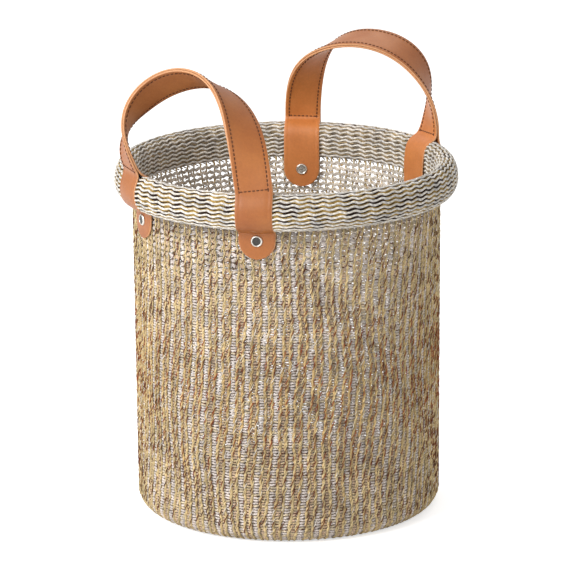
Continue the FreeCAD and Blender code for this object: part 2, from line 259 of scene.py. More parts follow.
@dataclass(frozen=True)
class LeatherFinish:
    """Smooth vegetable-tanned leather with a fine grain and paler cut edges."""

    name: str
    face: tuple
    deep: tuple
    edge: tuple = (206, 152, 108)
    edge_roughness: float = 0.25
    specular: float = 0.5
    pore_scale: float = 1400.0
    cloud_scale: float = 28.0
    grain_scale: float = 420.0
    relief: float = 0.12 * MM

    def material(self) -> bpy.types.Material:
        """Make the finish.

        Returns:
            The material.
        """
        shader = Shader(self.name)
        inputs = {"Vector": shader.place, "Scale": self.pore_scale}
        pores = shader.node("TexVoronoi", inputs).outputs["Distance"]
        cloud = shader.noise(self.cloud_scale, 3)
        grain = shader.noise(self.grain_scale, 4)
        cut = shader.attribute("cut_edge", "Fac")
        colour = shader.mix(shader.spread(cloud, 0, 1, 0.35), srgb(*self.face), srgb(*self.deep))
        colour = shader.shade(colour, shader.spread(grain, 0.93, 1.05))
        colour = shader.shade(colour, shader.spread(pores, 0.9, 1.02, 0.0, 0.5))
        wear = shader.math("MULTIPLY", cut, shader.spread(grain, 0.75, 1.0))
        colour = shader.mix(wear, colour, srgb(*self.edge))
        rough = shader.math("MULTIPLY", cut, self.edge_roughness)
        rough = shader.math("ADD", shader.spread(cloud, 0.38, 0.5), rough)
        height = shader.math("ADD", shader.spread(pores, 0, 0.7, 0, 0.6), shader.math("MULTIPLY", grain, 0.6))
        shader.bump(height, self.relief, 0.6)
        return shader.dress(Base_Color=colour, Roughness=rough, Specular_IOR_Level=self.specular)


@dataclass(frozen=True)
class MetalFinish:
    """Plated metal with fine turning marks and painted shade in its sunk parts."""

    name: str
    colour: tuple = (214, 210, 202)
    recess_shade: tuple = (70, 68, 66)
    roughness: float = 0.28
    mark_scale: float = 1500.0
    relief: float = 0.04 * MM

    def material(self) -> bpy.types.Material:
        """Make the finish.

        Returns:
            The material.
        """
        shader = Shader(self.name)
        marks = shader.noise(self.mark_scale, 3, (1, 1, 0.25))
        # painted shade where the mesh marks the sunk parts
        colour = shader.mix(shader.attribute("recess_shade", "Fac"), srgb(*self.colour), srgb(*self.recess_shade))
        colour = shader.shade(colour, shader.spread(marks, 0.85, 1.05))
        rough = shader.spread(marks, self.roughness - 0.06, self.roughness + 0.12)
        shader.bump(marks, self.relief, 0.5)
        return shader.dress(Base_Color=colour, Roughness=rough, Metallic=1.0)


@dataclass(frozen=True)
class FloorFinish:
    """Pale floor that keeps soft shadows and runs out into a white background."""

    name: str = "pale_floor"
    lift: float = 0.58

    def material(self) -> bpy.types.Material:
        """Make the finish.

        Returns:
            The material.
        """
        shader = Shader(self.name)
        shader.dress(Base_Color=shader.grey(shader.spread(shader.noise(40, 2), 0.80, 0.82)), Roughness=0.9,
                     Specular_IOR_Level=0.1)
        glow = shader.node("Emission", {"Strength": shader.math("MULTIPLY", shader.seen(), self.lift)})
        both = shader.node("AddShader", {0: shader.surface.outputs[0], 1: glow.outputs[0]})
        shader.feed(shader.tree.nodes["Material Output"], {"Surface": both.outputs[0]})
        return shader.material


# ---------------------------------------------------------------- meshes


def normalised(vectors: np.ndarray) -> np.ndarray:
    """Vectors brought to unit length along the last axis."""
    return vectors / np.maximum(np.linalg.norm(vectors, axis=-1, keepdims=True), 1e-12)


def square_to(along: np.ndarray, vectors: np.ndarray) -> np.ndarray:
    """Unit vectors square to unit directions, as near as they can be to the given ones."""
    return normalised(vectors - along * np.sum(vectors * along, axis=-1, keepdims=True))


def around(angle: np.ndarray, radius: np.ndarray, height: np.ndarray) -> np.ndarray:
    """Points at angles about the basket's axis."""
    angle, radius, height = np.broadcast_arrays(angle, radius, height)
    return np.stack([radius * np.cos(angle), radius * np.sin(angle), height], axis=-1)


def run_along(points: np.ndarray) -> np.ndarray:
    """Length from the first point of each line to each of its points."""
    steps = np.linalg.norm(np.diff(points, axis=-2), axis=-1)
    return np.concatenate([np.zeros_like(steps[..., :1]), np.cumsum(steps, axis=-1)], axis=-1)


def interpolated(at: np.ndarray, run: np.ndarray, values: np.ndarray) -> np.ndarray:
    """Columns of values, known at growing runs, at other runs."""
    return np.stack([np.interp(at, run, column) for column in values.T], axis=-1)


def linked(name: str, data: bpy.types.ID) -> bpy.types.Object:
    """New object in the scene's collection.

    Args:
        name: Name of the object.
        data: Mesh, lamp or camera of the object.

    Returns:
        The object.
    """
    made = bpy.data.objects.new(name, data)
    bpy.context.scene.collection.objects.link(made)
    return made


def grid_faces(grid: np.ndarray, closed: bool) -> np.ndarray:
    """Four-sided faces of grids of points that close across their columns.

    Args:
        grid: Numbers of the points, (..., rows, columns).
        closed: Whether the rows close too.

    Returns:
        Faces, (F, 4).
    """
    here, ahead = grid, np.roll(grid, -1, axis=-2)
    if not closed:
        here, ahead = here[..., :-1, :], ahead[..., :-1, :]
    faces = np.stack([here, ahead, np.roll(ahead, -1, axis=-1), np.roll(here, -1, axis=-1)], axis=-1)
    return faces.reshape(-1, 4)


def make_object(name: str, points: np.ndarray, quads: np.ndarray, caps: np.ndarray,
                layers: dict, material: bpy.types.Material) -> bpy.types.Object:
    """New mesh object from four-sided faces and end caps.

    Args:
        name: Name of the piece.
        points: Vertices, (N, 3).
        quads: Four-sided faces, (F, 4).
        caps: End faces, (C, sides).
        layers: Vertex attributes by name, (N, 3) or (N,).
        material: Finish of the piece.

    Returns:
        The linked object.
    """
    mesh = bpy.data.meshes.new(name)
    mesh.vertices.add(len(points))
    mesh.vertices.foreach_set("co", points.astype(np.float32).ravel())
    corners = np.concatenate([quads.ravel(), caps.ravel()]).astype(np.int32)
    starts = np.concatenate([np.arange(len(quads)) * 4, quads.size + np.arange(len(caps)) * caps.shape[1]])
    mesh.loops.add(len(corners))
    mesh.loops.foreach_set("vertex_index", corners)
    mesh.polygons.add(len(starts))
    mesh.polygons.foreach_set("loop_start", starts.astype(np.int32))
    mesh.polygons.foreach_set("use_smooth", np.ones(len(starts), dtype=bool))
    mesh.update(calc_edges=True)
    for label, values in layers.items():
        if label == "tint":
            values = np.concatenate([values, np.ones((len(values), 1))], axis=1)
            layer, key = mesh.color_attributes.new(label, "FLOAT_COLOR", "POINT"), "color"
        elif values.ndim == 1:
            layer, key = mesh.attributes.new(label, "FLOAT", "POINT"), "value"
        else:
            layer, key = mesh.attributes.new(label, "FLOAT_VECTOR", "POINT"), "vector"
        layer.data.foreach_set(key, values.astype(np.float32).ravel())
    mesh.validate()
    mesh.materials.append(material)
    return linked(name, mesh)


@dataclass
class StrandSet:
    """Round strands gathered into one mesh."""

    sides: int = 6
    twist_pitch: float = 3 * MM
    points: list = field(default_factory=list)
    quads: list = field(default_factory=list)
    caps: list = field(default_factory=list)
    tints: list = field(default_factory=list)
    lays: list = field(default_factory=list)
    count: int = 0

    def add(self, paths: np.ndarray, outward: np.ndarray, wide: object, thick: object, outer: np.ndarray,
            inner: object = None, closed: bool = False) -> None:
        """Add strands that all have the same number of points.

        Args:
            paths: Centre lines, (T, N, 3).
            outward: Direction of the thickness, broadcast to (T, N, 3).
            wide: Half width, a number or (T, N).
            thick: Half thickness, a number or (T, N).
            outer: Linear colours on the outward half, broadcast to (T, N, 3).
            inner: Colours on the other half, or None for the same.
            closed: Whether each strand closes on itself.
        """
        strands, length = paths.shape[:2]
        if closed:
            along = np.roll(paths, -1, axis=1) - np.roll(paths, 1, axis=1)
        else:
            along = np.gradient(paths, axis=1)
        along = normalised(along)
        face = square_to(along, outward)
        side = np.cross(along, face)
        turn = np.arange(self.sides) / self.sides * FULL_TURN
        cos, sin = np.cos(turn), np.sin(turn)
        wide, thick = (np.broadcast_to(size, (strands, length))[..., None, None] for size in (wide, thick))
        ring = (paths[:, :, None] + wide * cos[:, None] * side[:, :, None]
                + thick * sin[:, None] * face[:, :, None])
        outer = np.broadcast_to(outer, (strands, length, 3))[:, :, None]
        inner = outer if inner is None else np.broadcast_to(inner, (strands, length, 3))[:, :, None]
        share = (0.5 + 0.5 * sin)[:, None]
        tint = outer * share + inner * (1 - share)
        turns = run_along(paths)[:, :, None] / self.twist_pitch
        lay = np.stack(np.broadcast_arrays(turns, cos, sin), axis=-1)
        grid = self.count + np.arange(strands * length * self.sides).reshape(strands, length, self.sides)
        self.points.append(ring.reshape(-1, 3))
        self.tints.append(np.broadcast_to(tint, ring.shape).reshape(-1, 3))
        self.lays.append(lay.reshape(-1, 3))
        self.quads.append(grid_faces(grid, closed))
        if not closed:
            self.caps += [grid[:, 0], grid[:, -1, ::-1]]
        self.count += grid.size

    def build(self, name: str, material: bpy.types.Material) -> bpy.types.Object:
        """Make the piece.

        Args:
            name: Name of the piece.
            material: Yarn finish.

        Returns:
            The object.
        """
        points, quads, tint, lay = map(np.concatenate, (self.points, self.quads, self.tints, self.lays))
        caps = np.concatenate(self.caps) if self.caps else NO_CAPS
        return make_object(name, points, quads, caps, {"tint": tint, "lay": lay}, material)


def ride(piece: bpy.types.Object, body: Body, slot: Slot, *nodes: str) -> None:
    """Set a piece on its body and hide the nodes it stands for.

    Args:
        piece: Finished piece.
        body: Body that it moves with.
        slot: Not used.
        nodes: Packed nodes that it replaces.
    """
    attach(piece, body.value)
    if nodes:
        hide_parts(*nodes)
    LOG.info("%s: %d faces on %s", piece.name, len(piece.data.polygons), body.value)


def halves(count: int) -> enumerate:
    """Numbers of the first and the second half of a count of strands, one half for each piece."""
    return enumerate(np.array_split(np.arange(count), 2))


# ---------------------------------------------------------------- basket body


@dataclass
class Wander:
    """Slow sideways drift that the whole weave shares."""

    slant: float = 0.035
    slant_from: float = 0.3
    sway: float = 2.6 * MM
    radius: float = 150 * MM
    count: int = 5
    lobes: tuple = (2, 7)
    rates: tuple = (18, 46)
    seed: int = 11

    def __post_init__(self) -> None:
        """Draw lobes, rate up the wall and phase of each wave."""
        draw = np.random.default_rng(self.seed)
        self.waves = [(draw.integers(*self.lobes), draw.uniform(*self.rates), draw.uniform(0, FULL_TURN))
                      for _ in range(self.count)]

    def angle(self, theta: np.ndarray, height: np.ndarray) -> np.ndarray:
        """Angle by which the weave stands aside at a place.

        Args:
            theta: Angles about the axis.
            height: Heights over the floor.

        Returns:
            Offsets in radians.
        """
        drift = self.slant * (height - self.slant_from)
        for lobes, rate, phase in self.waves:
            drift = drift + self.sway / 2 * np.sin(lobes * theta + rate * height + phase)
        return drift / self.radius


@dataclass
class WovenWall:
    """Knitted wall: wavy double rows behind pairs of upright cords with slanting strokes, open near the rim.

    A place on the wall is an angle, a run down the outside from the top, and an inset under the outside.
    """

    finish: bpy.types.Material
    pairs: int = 64
    row_pitch: float = 5.5 * MM
    row_count: int = 54
    corner_rows: int = 5
    binder_rows: int = 3
    lowest_row: float = 17.0 * MM
    top_radius: float = 150 * MM
    bottom_radius: float = 148.7 * MM
    wall_top: float = 314 * MM
    corner: float = 14 * MM
    yarn_inset: float = 1.75 * MM
    yarn_thick: float = 1.1 * MM
    yarn_ripple: float = 0.12 * MM
    yarn_bulge: float = 0.45 * MM
    yarn_cross: float = 0.20 * MM
    yarn_swell: float = 0.14
    yarn_stray: float = 0.35 * MM
    stray: float = 0.12
    narrow_reach: float = 0.16
    tan_share: float = 0.24
    fleck_share: float = 0.05
    cord_inset: float = 0.8 * MM
    cord_half: float = 1.38 * MM
    cord_turns: tuple = (0.285, 0.715)
    cord_step: float = 1.8 * MM
    cord_start: float = -3 * MM
    cord_end: float = 340 * MM
    cord_sway: float = 0.75 * MM
    cord_sway_pitch: float = 45 * MM
    cord_zigzag: float = 0.42 * MM
    cord_fade: float = 25 * MM
    cord_slim: float = 0.32
    cord_pinch: float = 0.15
    cord_thick: float = 0.78
    cord_dye_rate: float = 40.0
    wave: float = 0.22 * MM
    strand_half: float = 0.97 * MM
    strand_gap: float = 1.30 * MM
    open_wave: float = 0.82 * MM
    open_half: float = 0.92 * MM
    open_gap: float = 0.74 * MM
    open_from: float = 252 * MM
    open_fade: float = 20 * MM
    rim_shade_from: float = 297 * MM
    rim_shade_fade: float = 12 * MM
    binder_inset: float = 1.15 * MM
    binder_stray: float = 0.35 * MM
    binder_reach: tuple = (2.7 * MM, 1.9 * MM)
    binder_share: tuple = (0.22, 0.6)
    binder_lowest: float = 4 * MM
    stroke_pitch: float = 5.2 * MM
    stroke_count: int = 56
    stroke_from: float = 12 * MM
    stroke_aside: float = 0.05
    stroke_half: float = 0.42 * MM
    stroke_proud: float = 0.45 * MM
    stroke_dive: float = 5.2 * MM
    warm_height: float = 0.15
    warm_reach: float = 0.075
    points_per_cell: int = 6
    strands_per_piece: int = 20
    seed: int = 7
    pearl: np.ndarray = tone(232, 220, 214)
    mauve: np.ndarray = tone(214, 182, 150)
    cream: np.ndarray = tone(228, 218, 204)
    straw: np.ndarray = tone(224, 202, 154)
    ochre: np.ndarray = tone(200, 166, 110)
    brown: np.ndarray = tone(112, 76, 46)
    russet: np.ndarray = tone(100, 50, 24)

    def __post_init__(self) -> None:
        """Start the drawing of random values and the shared drift."""
        self.draw = np.random.default_rng(self.seed)
        self.wander = Wander()

    def place(self, theta: np.ndarray, run: np.ndarray, inset: object) -> tuple:
        """Points and outward directions on the wall, which turns in round the bottom corner.

        Args:
            theta: Angles about the axis.
            run: Lengths down from the top of the wall.
            inset: Depths under the outside.

        Returns:
            Points and directions, both with a last axis of 3.
        """
        straight = self.wall_top - self.corner
        share = np.clip(run / straight, 0, 1)
        radius = self.top_radius + (self.bottom_radius - self.top_radius) * share
        bend = np.clip((run - straight) / self.corner, 0, math.pi / 2)
        under = np.maximum(run - straight - self.corner * math.pi / 2, 0)
        reach = self.corner - inset
        radius = radius - self.corner + reach * np.cos(bend) - under
        height = np.where(run < straight, self.wall_top - run, self.corner - reach * np.sin(bend))
        return around(theta, radius, height), around(theta, np.cos(bend), -np.sin(bend))

    def row_run(self, row: np.ndarray) -> np.ndarray:
        """Run of the middle of a row, counted from the uppermost."""
        return self.wall_top - self.lowest_row - (self.row_count - 1 - row) * self.row_pitch

    def warm(self, height: np.ndarray) -> np.ndarray:
        """Share of redder yarn at a height, most in a band under the middle."""
        return np.exp(-((height - self.warm_height) / self.warm_reach) ** 2)[..., None]

    def openness(self, height: np.ndarray, fade: float) -> np.ndarray:
        """Share of the open net at a height: 0 low down, rising to 1 over the fade."""
        return np.clip((height - self.open_from) / fade, 0, 1)

    def row_tint(self, turn: np.ndarray, height: np.ndarray, strands: int) -> np.ndarray:
        """Colour of the rows outside: pearl in wide gaps and mauve in narrow ones, with straw cells, painted
        shade where the rows pass behind the cords and painted shadow under the roll.

        Args:
            turn: Place across a pair of cords from 0 to 1, (T, N).
            height: Heights, (T, N).
            strands: Number of strands.

        Returns:
            Linear colours, (T, N, 3).
        """
        narrow = np.exp(-((turn - 0.5) / self.narrow_reach) ** 4)[..., None]
        shade = self.draw.uniform(0.82, 1.1, (strands, 1, 1))
        cell = self.draw.uniform(0.75, 1.15, turn.shape)[..., None]
        tint = self.pearl * (1 - narrow) + self.mauve * narrow * (1 - 0.22 * self.warm(height))
        tan = self.draw.random((strands, self.pairs * 2)) < self.tan_share
        tan = np.repeat(tan, self.points_per_cell, axis=1)
        tint = np.where(tan[..., None], tint * 0.35 + self.straw * 0.65, tint)
        # painted shade: the rows darken towards the cords, where they pass behind them
        painted_cord_shade = 0.5 + 0.5 * np.abs(np.cos(FULL_TURN * turn))[..., None] ** 0.7
        # painted shadow: the rows darken under the overhanging roll
        painted_rim_shadow = 1 - 0.5 * np.clip((height - self.rim_shade_from) / self.rim_shade_fade, 0, 1)[..., None]
        return tint * shade * (0.5 + 0.5 * cell) * (1 - 0.12 * self.warm(height)) * painted_cord_shade * painted_rim_shadow

    def rows(self) -> None:
        """Double rows of wavy yarn with a hole between their waves, a few rings to a piece."""
        length = self.pairs * 2 * self.points_per_cell
        theta = (np.arange(length) / length * FULL_TURN)[None]
        lines = [(row, strand) for row in range(self.row_count + self.corner_rows) for strand in (-1, 1)]
        for number, start in enumerate(range(0, len(lines), self.strands_per_piece)):
            chosen = np.array(lines[start:start + self.strands_per_piece])
            row, strand = chosen[:, :1], chosen[:, 1:]
            run = self.row_run(row) + 0 * theta
            height = self.wall_top - run
            cycle = (theta - self.wander.angle(theta, height)) * self.pairs / FULL_TURN
            turn = cycle % 1
            stray = self.draw.normal(0, self.stray, (len(chosen), self.pairs))
            stray = np.repeat(stray, length // self.pairs, axis=1)
            net = self.openness(height, self.open_fade)
            wave = self.wave + (self.open_wave - self.wave) * net
            wave = wave * np.sin(2 * FULL_TURN * cycle + math.pi * row + 0.5 * stray)
            bulge = (self.yarn_ripple * np.cos(FULL_TURN * turn)
                     + self.yarn_bulge * np.cos(2 * FULL_TURN * turn))
            cross = self.yarn_cross * strand * np.sin(FULL_TURN * cycle + row)
            swell = 1 + self.yarn_swell * np.cos(2 * FULL_TURN * turn)
            gap = self.strand_gap + (self.open_gap - self.strand_gap) * net
            half = self.strand_half + (self.open_half - self.strand_half) * net
            run = run + wave + strand * gap * swell + self.yarn_stray * stray
            paths, outward = self.place(theta, run, self.yarn_inset - bulge - cross)
            outer = self.row_tint(turn, height, len(chosen))
            fleck = (self.draw.random((len(chosen), length)) < self.fleck_share)[..., None]
            inner = self.cream * self.draw.uniform(0.86, 1.08, (len(chosen), 1, 1))
            inner = np.where(fleck, self.ochre, inner)
            strands = StrandSet()
            strands.add(paths, outward, half * swell, self.yarn_thick, outer, inner, closed=True)
            nodes = ("wall_weave", "base_corner") if number == 0 else ()
            ride(strands.build(f"wall_rows_{number}", self.finish), Body.BASKET, Slot.WALL, *nodes)

    def cords(self) -> None:
        """Pairs of upright straw cords, pinched at every row with painted shade in the pinches, and turned in
        round the bottom corner.
        """
        pair = np.arange(self.pairs)[:, None] + np.array(self.cord_turns)[None]
        centres = (pair / self.pairs * FULL_TURN).ravel()
        count = len(centres)
        steps = int((self.cord_end - self.cord_start) / self.cord_step)
        run = np.linspace(self.cord_start, self.cord_end, steps)[None]
        height = self.wall_top - run
        phase = self.draw.uniform(0, FULL_TURN, (count, 2, 1))
        own = self.cord_sway * np.sin(height * FULL_TURN / self.cord_sway_pitch + phase[:, 0])
        own = own + self.cord_zigzag * np.sin(height * math.pi / self.row_pitch + phase[:, 1])
        theta = centres[:, None] + self.wander.angle(centres[:, None], height) + own / self.top_radius
        paths, outward = self.place(theta, run + 0 * theta, self.cord_inset)
        phase = self.draw.uniform(0, FULL_TURN, (count, 1))
        link = np.cos(FULL_TURN * run / self.row_pitch + phase)
        slim = 1 - self.cord_slim * self.openness(height, self.cord_fade)
        half = self.cord_half * (1 + self.cord_pinch * link) * slim
        mix = self.draw.random((count, 1, 1))
        slow = 0.5 + 0.5 * np.sin(run * self.cord_dye_rate + phase)[..., None]
        share = np.clip(0.2 + 0.5 * mix * slow + 0.45 * self.warm(height), 0, 1)
        tint = self.straw * (1 - share) + self.ochre * share
        tint = tint * self.draw.uniform(0.88, 1.1, (count, 1, 1))
        # painted shade: the cords darken in their pinches, where the rows press into them
        tint = tint * (0.78 + 0.22 * (0.5 + 0.5 * link))[..., None]
        for number, part in halves(count):
            strands = StrandSet(twist_pitch=5.5 * MM)
            strands.add(paths[part], outward[part], half[part], half[part] * self.cord_thick, tint[part])
            ride(strands.build(f"wall_cords_{number}", self.finish), Body.BASKET, Slot.WALL)

    def short_yarns(self, name: str, paths: np.ndarray, outward: np.ndarray, half: np.ndarray,
                    tint: np.ndarray) -> None:
        """Two pieces of short round yarns.

        Args:
            name: First part of the pieces' names.
            paths: Centre lines, (T, N, 3).
            outward: Outward directions, (T, N, 3).
            half: Half widths, (T, N).
            tint: Linear colours, (T, 1, 3).
        """
        for number, part in halves(len(paths)):
            strands = StrandSet(sides=5)
            strands.add(paths[part], outward[part], half[part], half[part], tint[part])
            ride(strands.build(f"{name}_{number}", self.finish), Body.BASKET, Slot.WALL)

    def slit_shade_binders(self) -> None:
        """Dark yarn that shows as a short line between some rows, mostly in the narrow gaps; partly dark yarn
        and partly painted shade, a dark strand set in the slits where shade falls.
        """
        rows, gaps = np.arange(self.row_count + self.binder_rows), np.arange(self.pairs * 2)
        row, gap = (axis.ravel() for axis in np.meshgrid(rows, gaps, indexing="ij"))
        run = self.row_run(row) + self.row_pitch / 2 + self.draw.normal(0, self.binder_stray, len(row))
        share = np.where(gap % 2 == 0, *self.binder_share)
        kept = (self.draw.random(len(row)) < share) & (run > self.binder_lowest)
        gap, run = gap[kept], run[kept]
        count = len(run)
        across = np.linspace(-1, 1, 4)[None]
        reach = np.where(gap % 2 == 0, *self.binder_reach)[:, None] * self.draw.uniform(0.7, 1.1, (count, 1))
        centre = gap / (2 * self.pairs) * FULL_TURN
        theta = centre + self.wander.angle(centre, self.wall_top - run) + self.draw.normal(0, 0.003, count)
        theta = theta[:, None] + across * reach / self.top_radius
        slant = self.draw.normal(0.25, 0.35, (count, 1)) * MM
        inset = self.binder_inset + 0.5 * MM * across ** 2
        paths, outward = self.place(theta, run[:, None] + slant * across, inset)
        kind = self.draw.random((count, 1, 1))
        # partly painted shade: dark strands in the slits between rows, where shade falls
        tint = np.where(kind < 0.55, self.russet, np.where(kind < 0.85, self.brown, self.ochre * 0.8))
        half = self.draw.uniform(0.38, 0.62, (count, 1)) * MM * (1 - 0.5 * across ** 2)
        self.short_yarns("wall_slit_shade_binders", paths, outward, half, tint)

    def flecks(self) -> None:
        """Dark and pale strokes of yarn that cross every cord on the slant, one over the other."""
        cords, steps = np.arange(self.pairs * 2), np.arange(self.stroke_count)
        cord, step = (axis.ravel() for axis in np.meshgrid(cords, steps, indexing="ij"))
        count = len(cord)
        height = self.stroke_from + (step + self.draw.uniform(0.1, 0.9, count)) * self.stroke_pitch
        turn = np.array(self.cord_turns)[cord % 2] + self.draw.normal(0, 0.028, count)
        turn = turn + self.draw.choice([-self.stroke_aside, self.stroke_aside], count)
        centre = (cord // 2 + turn) / self.pairs * FULL_TURN
        along = np.linspace(-0.5, 0.5, 5)[None]
        length = self.draw.uniform(5, 8.5, (count, 1)) * MM
        lean = self.draw.normal(0.42, 0.12, (count, 1))
        theta = (centre[:, None] + self.wander.angle(centre, height)[:, None]
                 + along * length * lean / self.top_radius)
        run = self.wall_top - height[:, None] - along * length
        paths, outward = self.place(theta, run, self.stroke_dive * np.abs(along) ** 2.5 - self.stroke_proud)
        kind = self.draw.random((count, 1, 1))
        warm = self.warm(height)
        dark = self.russet * (1 + 1.2 * warm[:, None]) * self.draw.uniform(0.6, 1.5, (count, 1, 1))
        share = 0.5 + 0.16 * np.sin(centre * 9 + height * 60) + 0.1 * warm[:, 0]
        share = share - 0.25 * self.openness(height, self.open_fade)
        tint = np.where(kind < share[:, None, None], dark, np.where(kind < 0.88, self.straw, self.cream))
        half = self.stroke_half * (1 - 0.9 * np.abs(along) ** 2) * self.draw.uniform(0.8, 1.2, (count, 1))
        self.short_yarns("wall_flecks", paths, outward, half, tint)

    def build(self) -> None:
        """Make every piece of the wall."""
        self.rows()
        self.cords()
        self.slit_shade_binders()
        self.flecks()


@dataclass
class WovenBase:
    """Flat bottom: rings of the same wavy yarn crossed by spokes, with a stitched seam round it."""

    finish: bpy.types.Material
    thread: bpy.types.Material
    radius: float = 132.5 * MM
    ring_pitch: float = 5.5 * MM
    rings: int = 25
    wave_length: float = 7.4 * MM
    wave: float = 0.3 * MM
    weave: float = 0.22 * MM
    strand_gap: float = 1.36 * MM
    strand_half: float = 1.4 * MM
    strand_thick: float = 1.15 * MM
    least_radius: float = 0.8 * MM
    middle: float = 1.55 * MM
    spokes: int = 64
    spoke_ends: tuple = (8 * MM, 60 * MM, 30 * MM, 60 * MM)
    spoke_step: float = 1.4 * MM
    spoke_sway: float = 0.6 * MM
    spoke_weave: float = 0.62 * MM
    spoke_half: float = 0.9 * MM
    spoke_thick: float = 0.8 * MM
    stitches: int = 170
    seam_radius: float = 134.7 * MM
    seam_height: float = 3.7 * MM
    seam_reach: float = 2.4 * MM
    seam_slant: float = 1.1 * MM
    seed: int = 23
    yarn: np.ndarray = tone(198, 184, 164)
    straw: np.ndarray = tone(196, 164, 104)
    stitch: np.ndarray = tone(170, 144, 100)

    def __post_init__(self) -> None:
        """Start the drawing of random values."""
        self.draw = np.random.default_rng(self.seed)

    def build(self) -> None:
        """Make the bottom and the seam round it."""
        self.lay_rings()
        self.lay_spokes()
        self.sew()

    def lay_rings(self) -> None:
        """Double rings of wavy yarn, down to a closed middle."""
        strands = StrandSet()
        for ring in range(self.rings):
            centre = self.radius - ring * self.ring_pitch
            cells = max(6, 2 * round(centre * math.pi / self.wave_length))
            length = cells * 5
            theta = (np.arange(length) / length * FULL_TURN)[None]
            for strand in (-1, 1):
                wave = self.wave * np.sin(cells * theta + math.pi * ring)
                radius = np.maximum(centre + wave + strand * self.strand_gap, self.least_radius)
                paths = around(theta, radius, self.middle + self.weave * strand * np.sin(cells / 2 * theta))
                tint = self.yarn * self.draw.uniform(0.85, 1.1, (1, 1, 1))
                strands.add(paths, UP, self.strand_half, self.strand_thick, tint, closed=True)
        ride(strands.build("base_rings", self.finish), Body.BASKET, Slot.BASE, "base_disc")

    def lay_spokes(self) -> None:
        """Straw cords that run in from the corner over and under the rings."""
        strands = StrandSet(twist_pitch=4 * MM)
        for number in range(self.spokes):
            end = self.spoke_ends[number % len(self.spoke_ends)]
            radius = np.linspace(self.radius + 1 * MM, end, int((self.radius - end) / self.spoke_step))[None]
            theta = (number + 0.5) / self.spokes * FULL_TURN
            theta = theta + self.spoke_sway * np.sin(radius * 120 + number) / radius
            rise = self.spoke_weave * np.sin(math.pi * radius / self.ring_pitch + math.pi * number)
            tint = self.straw * self.draw.uniform(0.85, 1.1, (1, 1, 1))
            paths = around(theta, radius, self.middle + rise)
            strands.add(paths, UP, self.spoke_half, self.spoke_thick, tint)
        ride(strands.build("base_spokes", self.finish), Body.BASKET, Slot.BASE)

    def sew(self) -> None:
        """Whip stitches over the joint of the bottom and the turned-in wall."""
        theta = np.arange(self.stitches)[:, None] / self.stitches * FULL_TURN
        across = np.linspace(-1, 1, 7)[None]
        height = self.seam_height + 0.35 * MM - 1.6 * MM * across ** 4
        paths = around(theta + across * self.seam_slant / self.seam_radius,
                       self.seam_radius + across * self.seam_reach, height)
        strands = StrandSet(sides=5, twist_pitch=1.5 * MM)
        strands.add(paths, UP, 0.55 * MM, 0.5 * MM, self.stitch)
        ride(strands.build("base_seam_stitches", self.thread), Body.BASKET, Slot.SEAM, "base_seam")


# ---------------------------------------------------------------- rim


